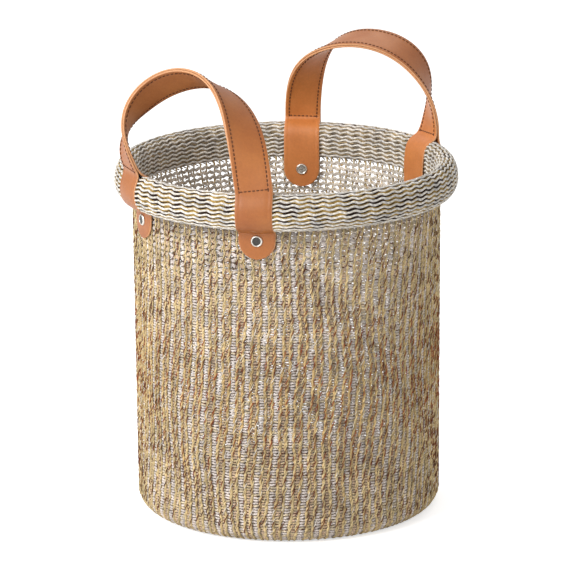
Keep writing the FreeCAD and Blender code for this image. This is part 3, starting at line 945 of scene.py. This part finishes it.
@dataclass
class RimRoll:
    """Fat rolled rim: wavy ropes, with thinner yarns between them, laid round a padded core."""

    finish: bpy.types.Material
    thread: bpy.types.Material
    inner_radius: float = 147 * MM
    centre_radius: float = 157 * MM
    belly: float = 329 * MM
    top: float = 348 * MM
    crown: float = 10.5 * MM
    rise: float = 19 * MM
    drop: float = 15 * MM
    shoulder: float = 12 * MM
    foot: float = 3.5 * MM
    core_inset: float = 2.0 * MM
    ropes: int = 22
    rope_half: float = 1.12 * MM
    rope_thick: float = 0.95
    rope_swell: float = 0.16
    filler_half: float = 0.62 * MM
    filler_inset: float = 1.35 * MM
    filler_swell: float = 0.3
    mouth_fade: float = 6 * MM
    mouth_share: float = 0.6
    proud: float = 0.8 * MM
    waves: int = 72
    wave: float = 0.0085
    second_wave: float = 0.16
    slow_wave: float = 0.002
    points_per_wave: int = 8
    # painted shade on the half of each rope and filler that faces into the roll
    underside: float = 0.6
    stitches: int = 190
    seam_radius: float = 151.1 * MM
    seam_height: float = 312.9 * MM
    seam_half: float = 0.6 * MM
    seam_slant: float = 2.0 * MM
    seed: int = 31
    cream: np.ndarray = tone(241, 234, 223)
    grey: np.ndarray = tone(212, 210, 210)
    ochre: np.ndarray = tone(180, 148, 82)
    # painted shadow: this dark brown shows as shade in the slits between the ropes, and the dark fillers take
    # it too
    core: np.ndarray = tone(62, 40, 22)
    shaded: np.ndarray = tone(176, 160, 136)
    stitch: np.ndarray = tone(160, 132, 88)

    def __post_init__(self) -> None:
        """Start the drawing of random values."""
        self.draw = np.random.default_rng(self.seed)

    def section(self, inset: float, count: int) -> np.ndarray:
        """Outline of the roll, even steps along it, in radius and height.

        Args:
            inset: Depth under the outside.
            count: Number of points.

        Returns:
            Points, (count, 2), from the inner foot up, over and down the outside.
        """
        bend = np.radians(np.linspace(0, 90, 25))
        cos, sin = np.cos(bend), np.sin(bend)
        back = self.centre_radius - self.inner_radius
        base = self.belly - self.drop
        line = np.concatenate([np.stack(piece, axis=1) for piece in (
            (self.inner_radius + self.foot * (1 - sin), base + self.foot * (1 - cos)),
            (self.centre_radius - back * cos, self.top - self.shoulder * (1 - sin)),
            (self.centre_radius + self.crown * sin, self.belly + self.rise * cos),
            (self.centre_radius + self.crown * cos, self.belly - self.drop * sin))])
        line = np.concatenate([line, line[:1]])
        run = run_along(line)
        points = interpolated(np.linspace(0, run[-1], count, endpoint=False), run, line)
        along = normalised(np.roll(points, -1, axis=0) - np.roll(points, 1, axis=0))
        return points - inset * np.stack([-along[:, 1], along[:, 0]], axis=1)

    def build(self) -> None:
        """Make the core, the ropes, the yarns between them and the seam under the roll."""
        self.lay_core()
        self.lay_ropes()
        self.lay_fillers()
        self.sew()

    def lay_core(self) -> None:
        """Padded core, seen only in the slits between the ropes, where its dark brown is painted shadow."""
        columns, rows = 40, 192
        line = self.section(self.core_inset - self.proud, columns)
        theta = np.arange(rows)[:, None] / rows * FULL_TURN
        points = around(theta, line[None, :, 0], line[None, :, 1]).reshape(-1, 3)
        layers = {"tint": self.core * self.draw.uniform(0.7, 1.3, (len(points), 1)),
                  "lay": np.tile([0.0, 1.0, 0.0], (len(points), 1))}
        faces = grid_faces(np.arange(rows * columns).reshape(rows, columns), True)[:, ::-1]
        piece = make_object("rim_core", points, faces, NO_CAPS, layers, self.finish)
        ride(piece, Body.BASKET, Slot.PADDING, "rim_padding")

    def wavy_lines(self, places: np.ndarray, depth: float, wobble: np.ndarray) -> tuple:
        """Lines laid side by side round the roll, all waving together.

        Args:
            places: Share of the way round the section for each line.
            depth: Depth of the lines under the outside.
            wobble: Phase of each line's waves.

        Returns:
            Angles, phases, points and outward directions.
        """
        count, steps = self.waves * self.points_per_wave, 400
        theta = (np.arange(count) / count * FULL_TURN)[None]
        fine = self.section(depth, steps)
        places, wobble = places[:, None], wobble[:, None]
        phase = self.waves * theta + wobble + 0.9 * np.sin(5 * theta + 9 * places)
        wave = self.wave * (np.sin(phase) + self.second_wave * np.sin(2 * phase + 0.7))
        wave = wave + self.slow_wave * np.sin(9 * theta + wobble)
        place = (places + wave) % 1 * steps
        index = place.astype(int) % steps
        share = (place - np.floor(place))[..., None]
        line = fine[index] * (1 - share) + fine[(index + 1) % steps] * share
        along = normalised(fine[(index + 2) % steps] - fine[index - 2])
        return (theta, phase, around(theta, line[..., 0], line[..., 1]),
                around(theta, -along[..., 1], along[..., 0]))

    def lay_ropes(self) -> None:
        """Wavy pale ropes side by side round the whole roll."""
        places = np.linspace(0, 1, self.ropes, endpoint=False)
        wobble = self.draw.normal(0, 0.35, self.ropes)
        _, phase, paths, outward = self.wavy_lines(places, self.rope_half - self.proud, wobble)
        wide = self.rope_half * (1 + self.rope_swell * np.cos(phase))
        blend = self.draw.random((self.ropes, 1, 1)) * 0.8
        patch = (0.5 + 0.5 * np.sin(phase + 1.2))[..., None]
        tint = self.cream * (1 - blend * patch) + self.grey * blend * patch
        tint = tint * self.draw.uniform(0.9, 1.05, (self.ropes, 1, 1))
        for number, part in halves(self.ropes):
            strands = StrandSet(sides=8, twist_pitch=5 * MM)
            # the inner half of each rope gets painted shade
            strands.add(paths[part], outward[part], wide[part], self.rope_half * self.rope_thick, tint[part],
                        tint[part] * self.underside, closed=True)
            nodes = ("rim_roll",) if number == 0 else ()
            ride(strands.build(f"rim_ropes_{number}", self.finish), Body.BASKET, Slot.RIM, *nodes)

    def lay_fillers(self) -> None:
        """Thin ochre and dark brown yarns that lie lower, two between one rope and the next; the dark brown
        is partly painted shade in the slits, and all fade to a shaded tone towards the mouth.
        """
        # the dark yarns are partly brown yarn and partly painted shade in the slits between the ropes
        kinds = ((-0.12, 0.35, self.core), (0.13, -0.45, self.core * 0.6))
        depth = self.filler_inset - self.proud
        for number, (aside, share, dark) in enumerate(kinds):
            places = np.arange(self.ropes) + 0.5 + aside + self.draw.normal(0, 0.03, self.ropes)
            wobble = self.draw.normal(0, 0.45, self.ropes)
            theta, phase, paths, outward = self.wavy_lines(places / self.ropes, depth, wobble)
            lobes = self.draw.integers(11, 31, (self.ropes, 1))
            patch = np.sin(lobes * theta + self.draw.uniform(0, FULL_TURN, (self.ropes, 1)))
            patch = (patch + 0.6 * np.sin(phase * 0.5) > share)[..., None]
            tint = np.where(patch, self.ochre * self.draw.uniform(0.7, 1.2, (self.ropes, 1, 1)), dark)
            inward = self.centre_radius - np.hypot(paths[..., :1], paths[..., 1:2])
            mouth = np.clip(inward / self.mouth_fade, 0, 1) * self.mouth_share
            tint = tint * (1 - mouth) + self.shaded * mouth
            half = self.filler_half * (1 + self.filler_swell * np.sin(phase + 2.0))
            strands = StrandSet(sides=5)
            # the inner half of each filler gets painted shade
            strands.add(paths, outward, half, half, tint, tint * self.underside, closed=True)
            ride(strands.build(f"rim_fillers_{number}", self.finish), Body.BASKET, Slot.RIM)

    def sew(self) -> None:
        """Slanting stitches that join the underside of the roll to the wall."""
        theta = np.arange(self.stitches)[:, None] / self.stitches * FULL_TURN
        across = np.linspace(-1, 1, 7)[None]
        middle = 1 - across ** 2
        paths = around(theta + across * self.seam_slant / self.centre_radius,
                       self.seam_radius + (1.1 * across + 0.5 * middle) * MM,
                       self.seam_height + (1.6 * across - 0.6 * middle) * MM)
        strands = StrandSet(sides=5, twist_pitch=1.5 * MM)
        strands.add(paths, around(theta + 0 * across, 1.0, -1.0), self.seam_half, self.seam_half, self.stitch)
        ride(strands.build("rim_seam_stitches", self.thread), Body.BASKET, Slot.SEAM, "rim_seam")


# ---------------------------------------------------------------- handles


def spline(poles: np.ndarray, count: int) -> np.ndarray:
    """Points on the even cubic B-spline that starts and ends at its first and last poles.

    Args:
        poles: Control points, (P, D).
        count: Points wanted.

    Returns:
        Points, (count, D).
    """
    inner = len(poles) - 3
    knots = np.concatenate([np.zeros(3), np.linspace(0, 1, inner + 1), np.ones(3)])
    place = np.linspace(0, 1, count)
    basis = [(knots[i] <= place) & (place < knots[i + 1]) for i in range(len(knots) - 1)]
    basis = [np.where(place == 1, i == len(poles) - 1, part).astype(float) for i, part in enumerate(basis)]
    for degree in (1, 2, 3):
        raised = []
        for i in range(len(basis) - 1):
            left, right = knots[i + degree] - knots[i], knots[i + degree + 1] - knots[i + 1]
            value = np.zeros_like(place)
            if left > 0:
                value += (place - knots[i]) / left * basis[i]
            if right > 0:
                value += (knots[i + degree + 1] - place) / right * basis[i + 1]
            raised.append(value)
        basis = raised
    return np.stack(basis, axis=1) @ poles


def arc(centre: tuple, reach: float, rise: object, angles: tuple) -> np.ndarray:
    """Points of a squashed arc in radius and height.

    Args:
        centre: Radius and height of its centre.
        reach: Half axis along the radius.
        rise: Half axis along the height, one or one for each point.
        angles: Degrees from straight outward.

    Returns:
        Points, (N, 2).
    """
    turn = np.radians(angles)
    return np.array(centre) + np.stack([reach * np.cos(turn), rise * np.sin(turn)], axis=1)


@dataclass(frozen=True)
class LoopShape:
    """How one handle's loop stands over its two ends, in metres and degrees.

    Along the flex line it bulges and is skewed, outward from it it bows and sways, and it leans as a whole.
    The strap is tilted and turned at its apex and curls on the way there.
    """

    azimuth: float
    height: float
    bulge: float
    bow: float
    tilt: float
    lean: float
    skew: float
    sway: float
    curl: float
    turn: float


@dataclass
class Handle:
    """Leather handle of two layers whose ends part over the rim and are riveted to the wall."""

    name: str
    body: Body
    shape: LoopShape
    width: float = 36 * MM
    thickness: float = 2 * MM
    layer_offset: float = 1.075 * MM
    half_angle: float = math.radians(27.7)
    crotch_radius: float = 161 * MM
    crotch_height: float = 349 * MM
    flex_height: float = 357 * MM
    bend_below: float = 5 * MM
    bend_above: float = 9 * MM
    rivet_height: float = 302 * MM
    outer_line_radius: float = 151.2 * MM
    inner_line_radius: float = 144.69 * MM
    roll_centre: tuple = (157 * MM, 329 * MM)
    mouth_centre: tuple = (155.9 * MM, 336 * MM)
    hug_radius: float = 152.95 * MM
    hug_top: float = 347 * MM
    hug_fade: float = 20 * MM
    loop_end: float = 84.6
    twist_power: float = 1.15
    tip: float = 18 * MM
    tip_points: int = 12
    tab_points: int = 64
    loop_points: int = 121
    layer_points: int = 300
    loose_from: float = 40 * MM
    smoothing: int = 12
    stitch_inset: float = 4 * MM
    stitch_below: float = 4 * MM
    stitch_pitch: float = 4.0 * MM
    stitch_length: float = 3.1 * MM
    stitch_half: float = 0.58 * MM
    cap_sides: int = 48
    thread: np.ndarray = tone(92, 50, 24)

    def loop_point(self, turn: np.ndarray) -> np.ndarray:
        """Middle of the loop at turns from -90 to 90 degrees.

        Args:
            turn: Turns in radians.

        Returns:
            Points with X along the flex line and Y outward, (N, 3).
        """
        form, rise = self.shape, np.cos(turn)
        half_span = self.crotch_radius * math.sin(self.half_angle)
        along = half_span * np.sin(turn) * (1 + form.bulge * rise ** 2) + form.skew * rise
        outward = form.bow * rise ** 2 + form.sway * np.sin(2 * turn)
        height = form.height * rise
        cos, sin = math.cos(math.radians(form.lean)), math.sin(math.radians(form.lean))
        return np.stack([along, self.crotch_radius * math.cos(self.half_angle) + outward * cos + height * sin,
                         self.crotch_height + height * cos - outward * sin], axis=-1)

    def loop_across(self, turn: np.ndarray) -> np.ndarray:
        """Direction across the strap, towards the middle at both ends and outward at the apex.

        Args:
            turn: Turns in radians.

        Returns:
            Directions, (N, 3).
        """
        form = self.shape
        lift = np.maximum(np.cos(turn), 0) ** self.twist_power
        side = np.where(turn > 0, -1.0, 1.0)
        end = np.stack([side * math.cos(self.half_angle), np.full_like(turn, math.sin(self.half_angle)),
                        np.zeros_like(turn)], axis=-1)
        tilt, yaw = math.radians(form.tilt), math.radians(form.turn)
        apex = np.array([math.sin(yaw), math.cos(tilt) * math.cos(yaw), math.sin(tilt)])
        across = end * (1 - lift[:, None]) + apex * lift[:, None]
        return across + UP * (form.curl * np.sin(2 * turn))[:, None]

    def outer_poles(self) -> np.ndarray:
        """Bends of the outer tab, up the wall, round the roll and up to the strap.

        Returns:
            Poles in radius and height.
        """
        lower = [(self.outer_line_radius, self.rivet_height + up * MM) for up in (-18, -12, -6, 0, 4, 7, 8.6)]
        rise = np.array([15.7, 15.7, 15.7, 15.7, 19.7, 19.7]) * MM
        bend = arc(self.roll_centre, 11.2 * MM, rise, (-72, -48, -24, 0, 18, 36))
        crotch = self.crotch_radius + self.layer_offset
        upper = [(crotch + 0.3 * MM, 347.2 * MM), (crotch, 349 * MM), (crotch, 351 * MM)]
        return np.concatenate([lower, bend, upper])

    def inner_poles(self) -> np.ndarray:
        """Bends of the inner tab, up inside the mouth and over the roll to the strap.

        Returns:
            Poles in radius and height.
        """
        lower = [(self.inner_line_radius, self.rivet_height + up * MM) for up in (-18, -10, 0, 10, 20)]
        bend = arc(self.mouth_centre, 10.2 * MM, 12.7 * MM, (180, 160, 138, 116, 96))
        crotch = self.crotch_radius - self.layer_offset
        upper = [(crotch - 1.6 * MM, 349.4 * MM), (crotch - 0.3 * MM, 350.2 * MM), (crotch, 352.5 * MM)]
        return np.concatenate([lower, bend, upper])

    def tab(self, poles: np.ndarray, side: int) -> np.ndarray:
        """Middle line of one tab, from its tip to the strap.

        Args:
            poles: Bends of the tab in radius and height.
            side: -1 or 1, the end of the handle.

        Returns:
            Points, across and radial directions, and the share by which each point hugs the basket, (N, 10).
        """
        line = spline(poles, self.tab_points)
        hug = np.clip((self.hug_top - line[:, 1:]) / self.hug_fade, 0, 1)
        radial = np.array([side * math.sin(self.half_angle), math.cos(self.half_angle), 0])
        inward = np.array([-side * math.cos(self.half_angle), math.sin(self.half_angle), 0])
        directions = np.tile(np.concatenate([inward, radial]), (len(line), 1))
        return np.concatenate([line[:, :1] * radial + line[:, 1:] * UP, directions, hug], axis=1)

    def loop(self, offset: float) -> np.ndarray:
        """Middle line of one layer's loop over the two flex points.

        Args:
            offset: Offset of the layer from the middle of the strap.

        Returns:
            The same columns as a tab's, with zeros for those that it doesn't have.
        """
        turn = np.radians(np.linspace(-self.loop_end, self.loop_end, self.loop_points))
        step = 0.008
        along = normalised(self.loop_point(turn + step) - self.loop_point(turn - step))
        across = square_to(along, self.loop_across(turn))
        points = self.loop_point(turn) + offset * np.cross(along, across)
        return np.concatenate([points, across, np.zeros((len(turn), 4))], axis=1)

    def half_widths(self, run: np.ndarray) -> np.ndarray:
        """Half widths along a layer whose tips are round.

        Args:
            run: Length from the first tip to each point.

        Returns:
            Half widths, (N,).
        """
        half = np.full(len(run), self.width / 2)
        for reach in (run, run[-1] - run):
            short = np.clip(reach / self.tip, 0, 1)
            half = np.minimum(half, self.width / 2 * np.sqrt(np.maximum(1 - (1 - short) ** 2, 0.0004)))
        return half

    def layer_line(self, poles: np.ndarray, offset: float) -> dict:
        """Middle line of one whole layer, from one riveted tip over the loop to the other.

        Args:
            poles: Bends of its tabs.
            offset: Offset of the layer from the middle of the strap.

        Returns:
            Points, across, face and radial directions, hugging shares, half widths and runs.
        """
        whole = np.concatenate([self.tab(poles, -1), self.loop(offset), self.tab(poles, 1)[::-1]])
        length = run_along(whole[:, :3])
        near = self.tip * (1 - np.cos(np.linspace(0, math.pi / 2, self.tip_points)))
        run = np.linspace(0, length[-1], self.layer_points)
        run = run[(run > self.tip * 1.03) & (run < length[-1] - self.tip * 1.03)]
        run = np.concatenate([near, run, length[-1] - near[::-1]])
        whole = interpolated(run, length, whole)
        loose = ((run > self.loose_from) & (run < length[-1] - self.loose_from))[1:-1]
        smooth = whole[:, :6]
        for _ in range(self.smoothing):
            smooth[1:-1][loose] = (smooth[:-2] + 2 * smooth[1:-1] + smooth[2:])[loose] / 4
        points, across, radial, hug = np.split(whole, (3, 6, 9), axis=1)
        along = normalised(np.gradient(points, axis=0))
        across = square_to(along, across)
        return {"points": points, "across": across, "face": np.cross(along, across), "radial": radial,
                "hug": hug[:, 0], "half": self.half_widths(run), "run": run}

    def on_layer(self, line: dict, aside: np.ndarray, lift: np.ndarray) -> np.ndarray:
        """Points beside and over a layer's middle line.

        Args:
            line: Middle line.
            aside: Distances across, (N, K).
            lift: Distances along the face direction, (N, K).

        Returns:
            Points in the basket's own place, (N, K, 3).
        """
        sag = (aside ** 2 / (2 * self.hug_radius)) * line["hug"][:, None]
        local = (line["points"][:, None] + aside[..., None] * line["across"][:, None]
                 + lift[..., None] * line["face"][:, None] - sag[..., None] * line["radial"][:, None])
        angle = math.radians(self.shape.azimuth - 90)
        cos, sin = math.cos(angle), math.sin(angle)
        return np.stack([local[..., 0] * cos - local[..., 1] * sin, local[..., 0] * sin + local[..., 1] * cos,
                         local[..., 2]], axis=-1)

    def strap(self, name: str, line: dict, material: bpy.types.Material) -> bpy.types.Object:
        """One leather layer with rounded cut edges and a pressed line under its stitches.

        Args:
            name: Name of the piece.
            line: Middle line of the layer.
            material: Leather finish.

        Returns:
            The object.
        """
        half, thick = line["half"][:, None], self.thickness / 2
        full = half >= self.width / 2 * 0.999
        inset = np.array([0.75, 3.3, 4.0, 4.7, 9.0]) * MM
        beside = np.where(full, half - inset, half * np.array([0.93, 0.8, 0.6, 0.45, 0.3]))
        aside = np.concatenate([beside, 0 * half, -beside[:, ::-1]], axis=1)
        pressed = np.array([1, 1, 0.86, 1, 1, 1, 1, 1, 0.86, 1, 1]) * thick
        lift = np.where(full, pressed, thick)
        side = half - np.array([0.18, 0.0, 0.18]) * MM
        rim = np.broadcast_to(np.array([-0.7, 0, 0.7]) * thick, side.shape)
        across = np.concatenate([aside, -side[:, ::-1], -aside, side], axis=1)[:, ::-1]
        over = np.concatenate([lift, rim[:, ::-1], -lift, rim], axis=1)[:, ::-1]
        grid = self.on_layer(line, across, over)
        rows, columns = grid.shape[:2]
        cut = np.tile(np.repeat([0.0, 1.0, 0.0, 1.0], [11, 3, 11, 3])[::-1], rows)
        numbers = np.arange(rows * columns).reshape(rows, columns)
        ends = np.stack([numbers[0, ::-1], numbers[-1]])
        faces = grid_faces(numbers, False)
        return make_object(name, grid.reshape(-1, 3), faces, ends, {"cut_edge": cut}, material)

    def stitch_rows(self, line: dict, lift: float, strands: StrandSet) -> None:
        """Both edge rows of stitches on one face, and the cross rows at their ends.

        Args:
            line: Middle line of the layer.
            lift: Height of the face over the middle line, negative on the inner side.
            strands: Mesh that takes the stitches.
        """
        level = np.nonzero(line["points"][:, 2] > self.flex_height - self.stitch_below)[0]
        start, end = line["run"][level[0]], line["run"][level[-1]]
        middle = np.linspace(start, end, int((end - start) / self.stitch_pitch))[:, None]
        reach = np.linspace(-0.5, 0.5, 6)
        shape = 1 - np.abs(2 * reach) ** 3
        edge = self.width / 2 - self.stitch_inset
        along = middle + reach * self.stitch_length
        across = np.arange(-3, 4)[:, None] * self.stitch_pitch + reach * self.stitch_length
        rows = [(along, np.full_like(along, place)) for place in (-edge, edge)]
        rows += [(np.full_like(across, place), across) for place in (start, end)]
        sign = 1 if lift > 0 else -1
        for where, aside in rows:
            flat = {key: interpolated(where.ravel(), line["run"], part) if part.ndim == 2
                    else np.interp(where.ravel(), line["run"], part) for key, part in line.items()}
            rise = (lift + sign * (np.tile(shape, len(where)) * 0.9 - 0.55) * self.stitch_half)[:, None]
            aside = aside.reshape(-1, 1)
            points = self.on_layer(flat, aside, rise).reshape(*where.shape, 3)
            above = self.on_layer(flat, aside, rise + sign * MM).reshape(*where.shape, 3)
            half = self.stitch_half * (0.55 + 0.45 * shape)
            strands.add(points, above - points, half, half * 0.9, self.thread)

    def rivet(self, name: str, side: int, inner: bool, material: bpy.types.Material) -> bpy.types.Object:
        """Turned cap with a bevelled ring and a flat, slightly sunk middle, with painted shade in the middle
        and at the edge on the leather.

        Args:
            name: Name of the piece.
            side: -1 or 1, the end of the handle.
            inner: Whether it is the cap inside the basket.
            material: Metal finish.

        Returns:
            The object.
        """
        profile = np.array([
            (0.02, 1.05), (2.4, 1.05), (3.9, 1.05), (4.15, 1.15), (4.35, 1.5), (4.65, 1.6),
            (5.1, 1.3), (5.5, 0.8), (5.8, 0.35), (5.75, -0.15), (5.0, -0.2), (0.02, -0.2)]) * MM
        # painted shade: dark in the sunk middle and at the lower edge against the leather, faint on the inner
        # caps
        recess_shade = np.array([1, 1, 1, 0.6, 0, 0, 0, 0, 0.1, 0.3, 0, 0]) * (0.15 if inner else 1.0)
        turn = (np.arange(self.cap_sides) / self.cap_sides * FULL_TURN)[:, None]
        if inner:
            seat, out = self.inner_line_radius - self.thickness / 2, -1.0
        else:
            seat, out = self.outer_line_radius + self.thickness / 2, 1.0
        angle = math.radians(self.shape.azimuth) + side * self.half_angle
        radial = np.array([math.cos(angle), math.sin(angle), 0])
        aside = np.array([-math.sin(angle), math.cos(angle), 0]) * out
        points = (radial * (seat + out * profile[:, 1])[:, None, None] + UP * self.rivet_height
                  + profile[:, 0][:, None, None] * (np.cos(turn) * aside + np.sin(turn) * UP))
        numbers = np.arange(points.size // 3).reshape(points.shape[:2])
        ends = np.stack([numbers[0], numbers[-1, ::-1]])
        layers = {"recess_shade": np.repeat(recess_shade, self.cap_sides)}
        return make_object(name, points.reshape(-1, 3), grid_faces(numbers, False), ends, layers, material)

    def build(self, leather: dict, thread: bpy.types.Material, metal: bpy.types.Material) -> None:
        """Make both layers, the stitches and the rivets.

        Args:
            leather: Finishes of the outer and inner layers.
            thread: Stitch finish.
            metal: Rivet finish.
        """
        face = self.thickness / 2
        layers = {"outer": (self.layer_line(self.outer_poles(), self.layer_offset), face),
                  "inner": (self.layer_line(self.inner_poles(), -self.layer_offset), -face)}
        strands = StrandSet(twist_pitch=1.2 * MM)
        for line, lift in layers.values():
            self.stitch_rows(line, lift, strands)
        stitches = strands.build(f"{self.name}_handle_stitches", thread)
        for word, (line, _) in layers.items():
            piece = self.strap(f"{self.name}_handle_{word}_leather", line, leather[word])
            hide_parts(f"{self.name}_handle_{word}_strap", f"{self.name}_left_{word}_tab",
                        f"{self.name}_right_{word}_tab")
            self.bend(piece)
        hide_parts(f"{self.name}_handle_stitching", f"{self.name}_end_stitching")
        self.bend(stitches)
        for word, side in (("left", -1), ("right", 1)):
            for inside, node in ((False, "rivet"), (True, "rivet_back")):
                cap = self.rivet(f"{self.name}_{word}_{node}_cap", side, inside, metal)
                ride(cap, Body.BASKET, Slot.RIVET, f"{self.name}_{word}_{node}")

    def bend(self, piece: bpy.types.Object) -> None:
        """Bake a piece's place into its mesh and log its faces.

        Args:
            piece: Strap or stitches.
        """
        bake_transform(piece)
        LOG.info("%s: %d faces, bends into %s", piece.name, len(piece.data.polygons), self.body.value)


# ---------------------------------------------------------------- studio


@dataclass(frozen=True)
class Lamp:
    """Square soft lamp that faces the basket from a distance in metres, with its power in watts."""

    name: str
    azimuth: float
    elevation: float
    distance: float
    size: float
    power: float
    aim: float = 0.2

    def place(self) -> None:
        """Hang the lamp at its angles, in degrees, from the front towards +X and over the floor."""
        turn, lift = math.radians(self.azimuth), math.radians(self.elevation)
        away = Vector((math.sin(turn) * math.cos(lift), -math.cos(turn) * math.cos(lift), math.sin(lift)))
        data = bpy.data.lights.new(self.name, "AREA")
        data.size, data.energy = self.size, self.power
        made = linked(self.name, data)
        made.location = Vector((0, 0, self.aim)) + away * self.distance
        made.rotation_euler = away.to_track_quat("Z", "Y").to_euler()


@dataclass
class Studio:
    """Camera, lamps, floor and world."""

    azimuth: float = 36.2
    elevation: float = 15.017
    distance: float = 4.0705
    lens: float = 261.25
    aside: float = -2.1 * MM
    height: float = 218.9 * MM
    roll: float = -0.474
    floor_size: float = 30.0
    floor_drop: float = 0.5 * MM
    sky_light: float = 0.55
    lamps: tuple = (Lamp("key_lamp", -18, 32, 2.6, 1.6, 68), Lamp("fill_lamp", 60, 20, 2.8, 1.8, 8),
                    Lamp("back_lamp", 205, 60, 2.6, 1.6, 12))

    def camera(self) -> None:
        """Place the camera and make it the scene's own."""
        turn, lift, roll = (math.radians(value) for value in (self.azimuth, self.elevation, self.roll))
        right = Vector((math.cos(turn), math.sin(turn), 0))
        ahead = Vector((-math.sin(turn) * math.cos(lift), math.cos(turn) * math.cos(lift), -math.sin(lift)))
        above = right.cross(ahead)
        target = right * self.aside + Vector((0, 0, self.height))
        side = right * math.cos(roll) + above * math.sin(roll)
        top = above * math.cos(roll) - right * math.sin(roll)
        place = Matrix((side, top, -ahead)).transposed().to_4x4()
        place.translation = target - ahead * self.distance
        data = bpy.data.cameras.new("camera")
        data.lens, data.clip_end = self.lens, 100
        made = linked("camera", data)
        made.matrix_world = place
        bpy.context.scene.camera = made

    def world(self) -> None:
        """White surroundings that light softly and show as white."""
        world = bpy.data.worlds.new("studio")
        bpy.context.scene.world = world
        world.use_nodes = True
        nodes = Nodes(world.node_tree)
        strength = nodes.spread(nodes.seen(), self.sky_light, 1.0, 0, 1)
        nodes.feed(nodes.tree.nodes["Background"], {"Color": (1, 1, 1, 1), "Strength": strength})

    def floor(self) -> None:
        """Wide pale floor."""
        half = self.floor_size / 2
        corners = [(-half, -half, 0), (half, -half, 0), (half, half, 0), (-half, half, 0)]
        mesh = bpy.data.meshes.new("floor")
        mesh.from_pydata(corners, [], [(0, 1, 2, 3)])
        mesh.materials.append(FloorFinish().material())
        made = linked("floor", mesh)
        made.location.z = -self.floor_drop

    def build(self) -> None:
        """Set up everything round the basket."""
        self.camera()
        self.world()
        self.floor()
        for lamp in self.lamps:
            lamp.place()
        bpy.context.scene.view_settings.view_transform = "Standard"


HANDLES = (
    Handle("front", Body.FRONT_HANDLE, LoopShape(
        azimuth=267.7, height=90.7 * MM, bulge=0.054, bow=-38.9 * MM, tilt=36.6, lean=10.9,
        skew=17.2 * MM, sway=10.5 * MM, curl=0.23, turn=1.4)),
    Handle("back", Body.BACK_HANDLE, LoopShape(
        azimuth=92.2, height=95.8 * MM, bulge=0.18, bow=-12.6 * MM, tilt=13.4, lean=-0.3,
        skew=8.7 * MM, sway=7.8 * MM, curl=-0.22, turn=23.4)),
)


def dress_hidden_hoop() -> None:
    """Give the wire ring inside the roll its plated finish."""
    grey = (150, 148, 144)
    metal = MetalFinish("hoop_wire", grey, grey, 0.4).material()
    ring = bpy.data.objects["rim_hoop"]
    if not ring.material_slots:
        ring.data.materials.append(metal)
    for slot in ring.material_slots:
        slot.material = metal
    LOG.info("rim_hoop dressed")


def main() -> None:
    """Build the basket and its studio, piece by piece."""
    logging.basicConfig(level=logging.INFO, format="%(name)s: %(message)s")
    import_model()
    Studio().build()
    yarn = YarnFinish("wall_yarn").material()
    rope = YarnFinish("rim_yarn", twist_groove_shade=0.26, relief=0.5 * MM, sheen=0.03).material()
    thread = YarnFinish("seam_thread", twist_groove_shade=0.3, relief=0.2 * MM).material()
    waxed = YarnFinish("stitch_thread", twist_groove_shade=0.25, fluff=0.1, roughness=0.6,
                       relief=0.15 * MM).material()
    WovenWall(yarn).build()
    WovenBase(yarn, thread).build()
    RimRoll(rope, thread).build()
    outer = LeatherFinish("caramel_leather", (163, 97, 42), (149, 83, 33)).material()
    # lit and shaded copies of one leather: the front lining is painted darker as shade under its arch, and
    # the back lining is painted lighter as light on its inner face
    linings = {"front": LeatherFinish("front_lining_painted_shade", (172, 108, 60), (156, 92, 48)).material(),
               "back": LeatherFinish("back_lining_painted_light", (200, 124, 65), (185, 110, 53)).material()}
    metal = MetalFinish("rivet_metal").material()
    for handle in HANDLES:
        handle.build({"outer": outer, "inner": linings[handle.name]}, waxed, metal)
    dress_hidden_hoop()


if __name__ == "__main__":
    main()
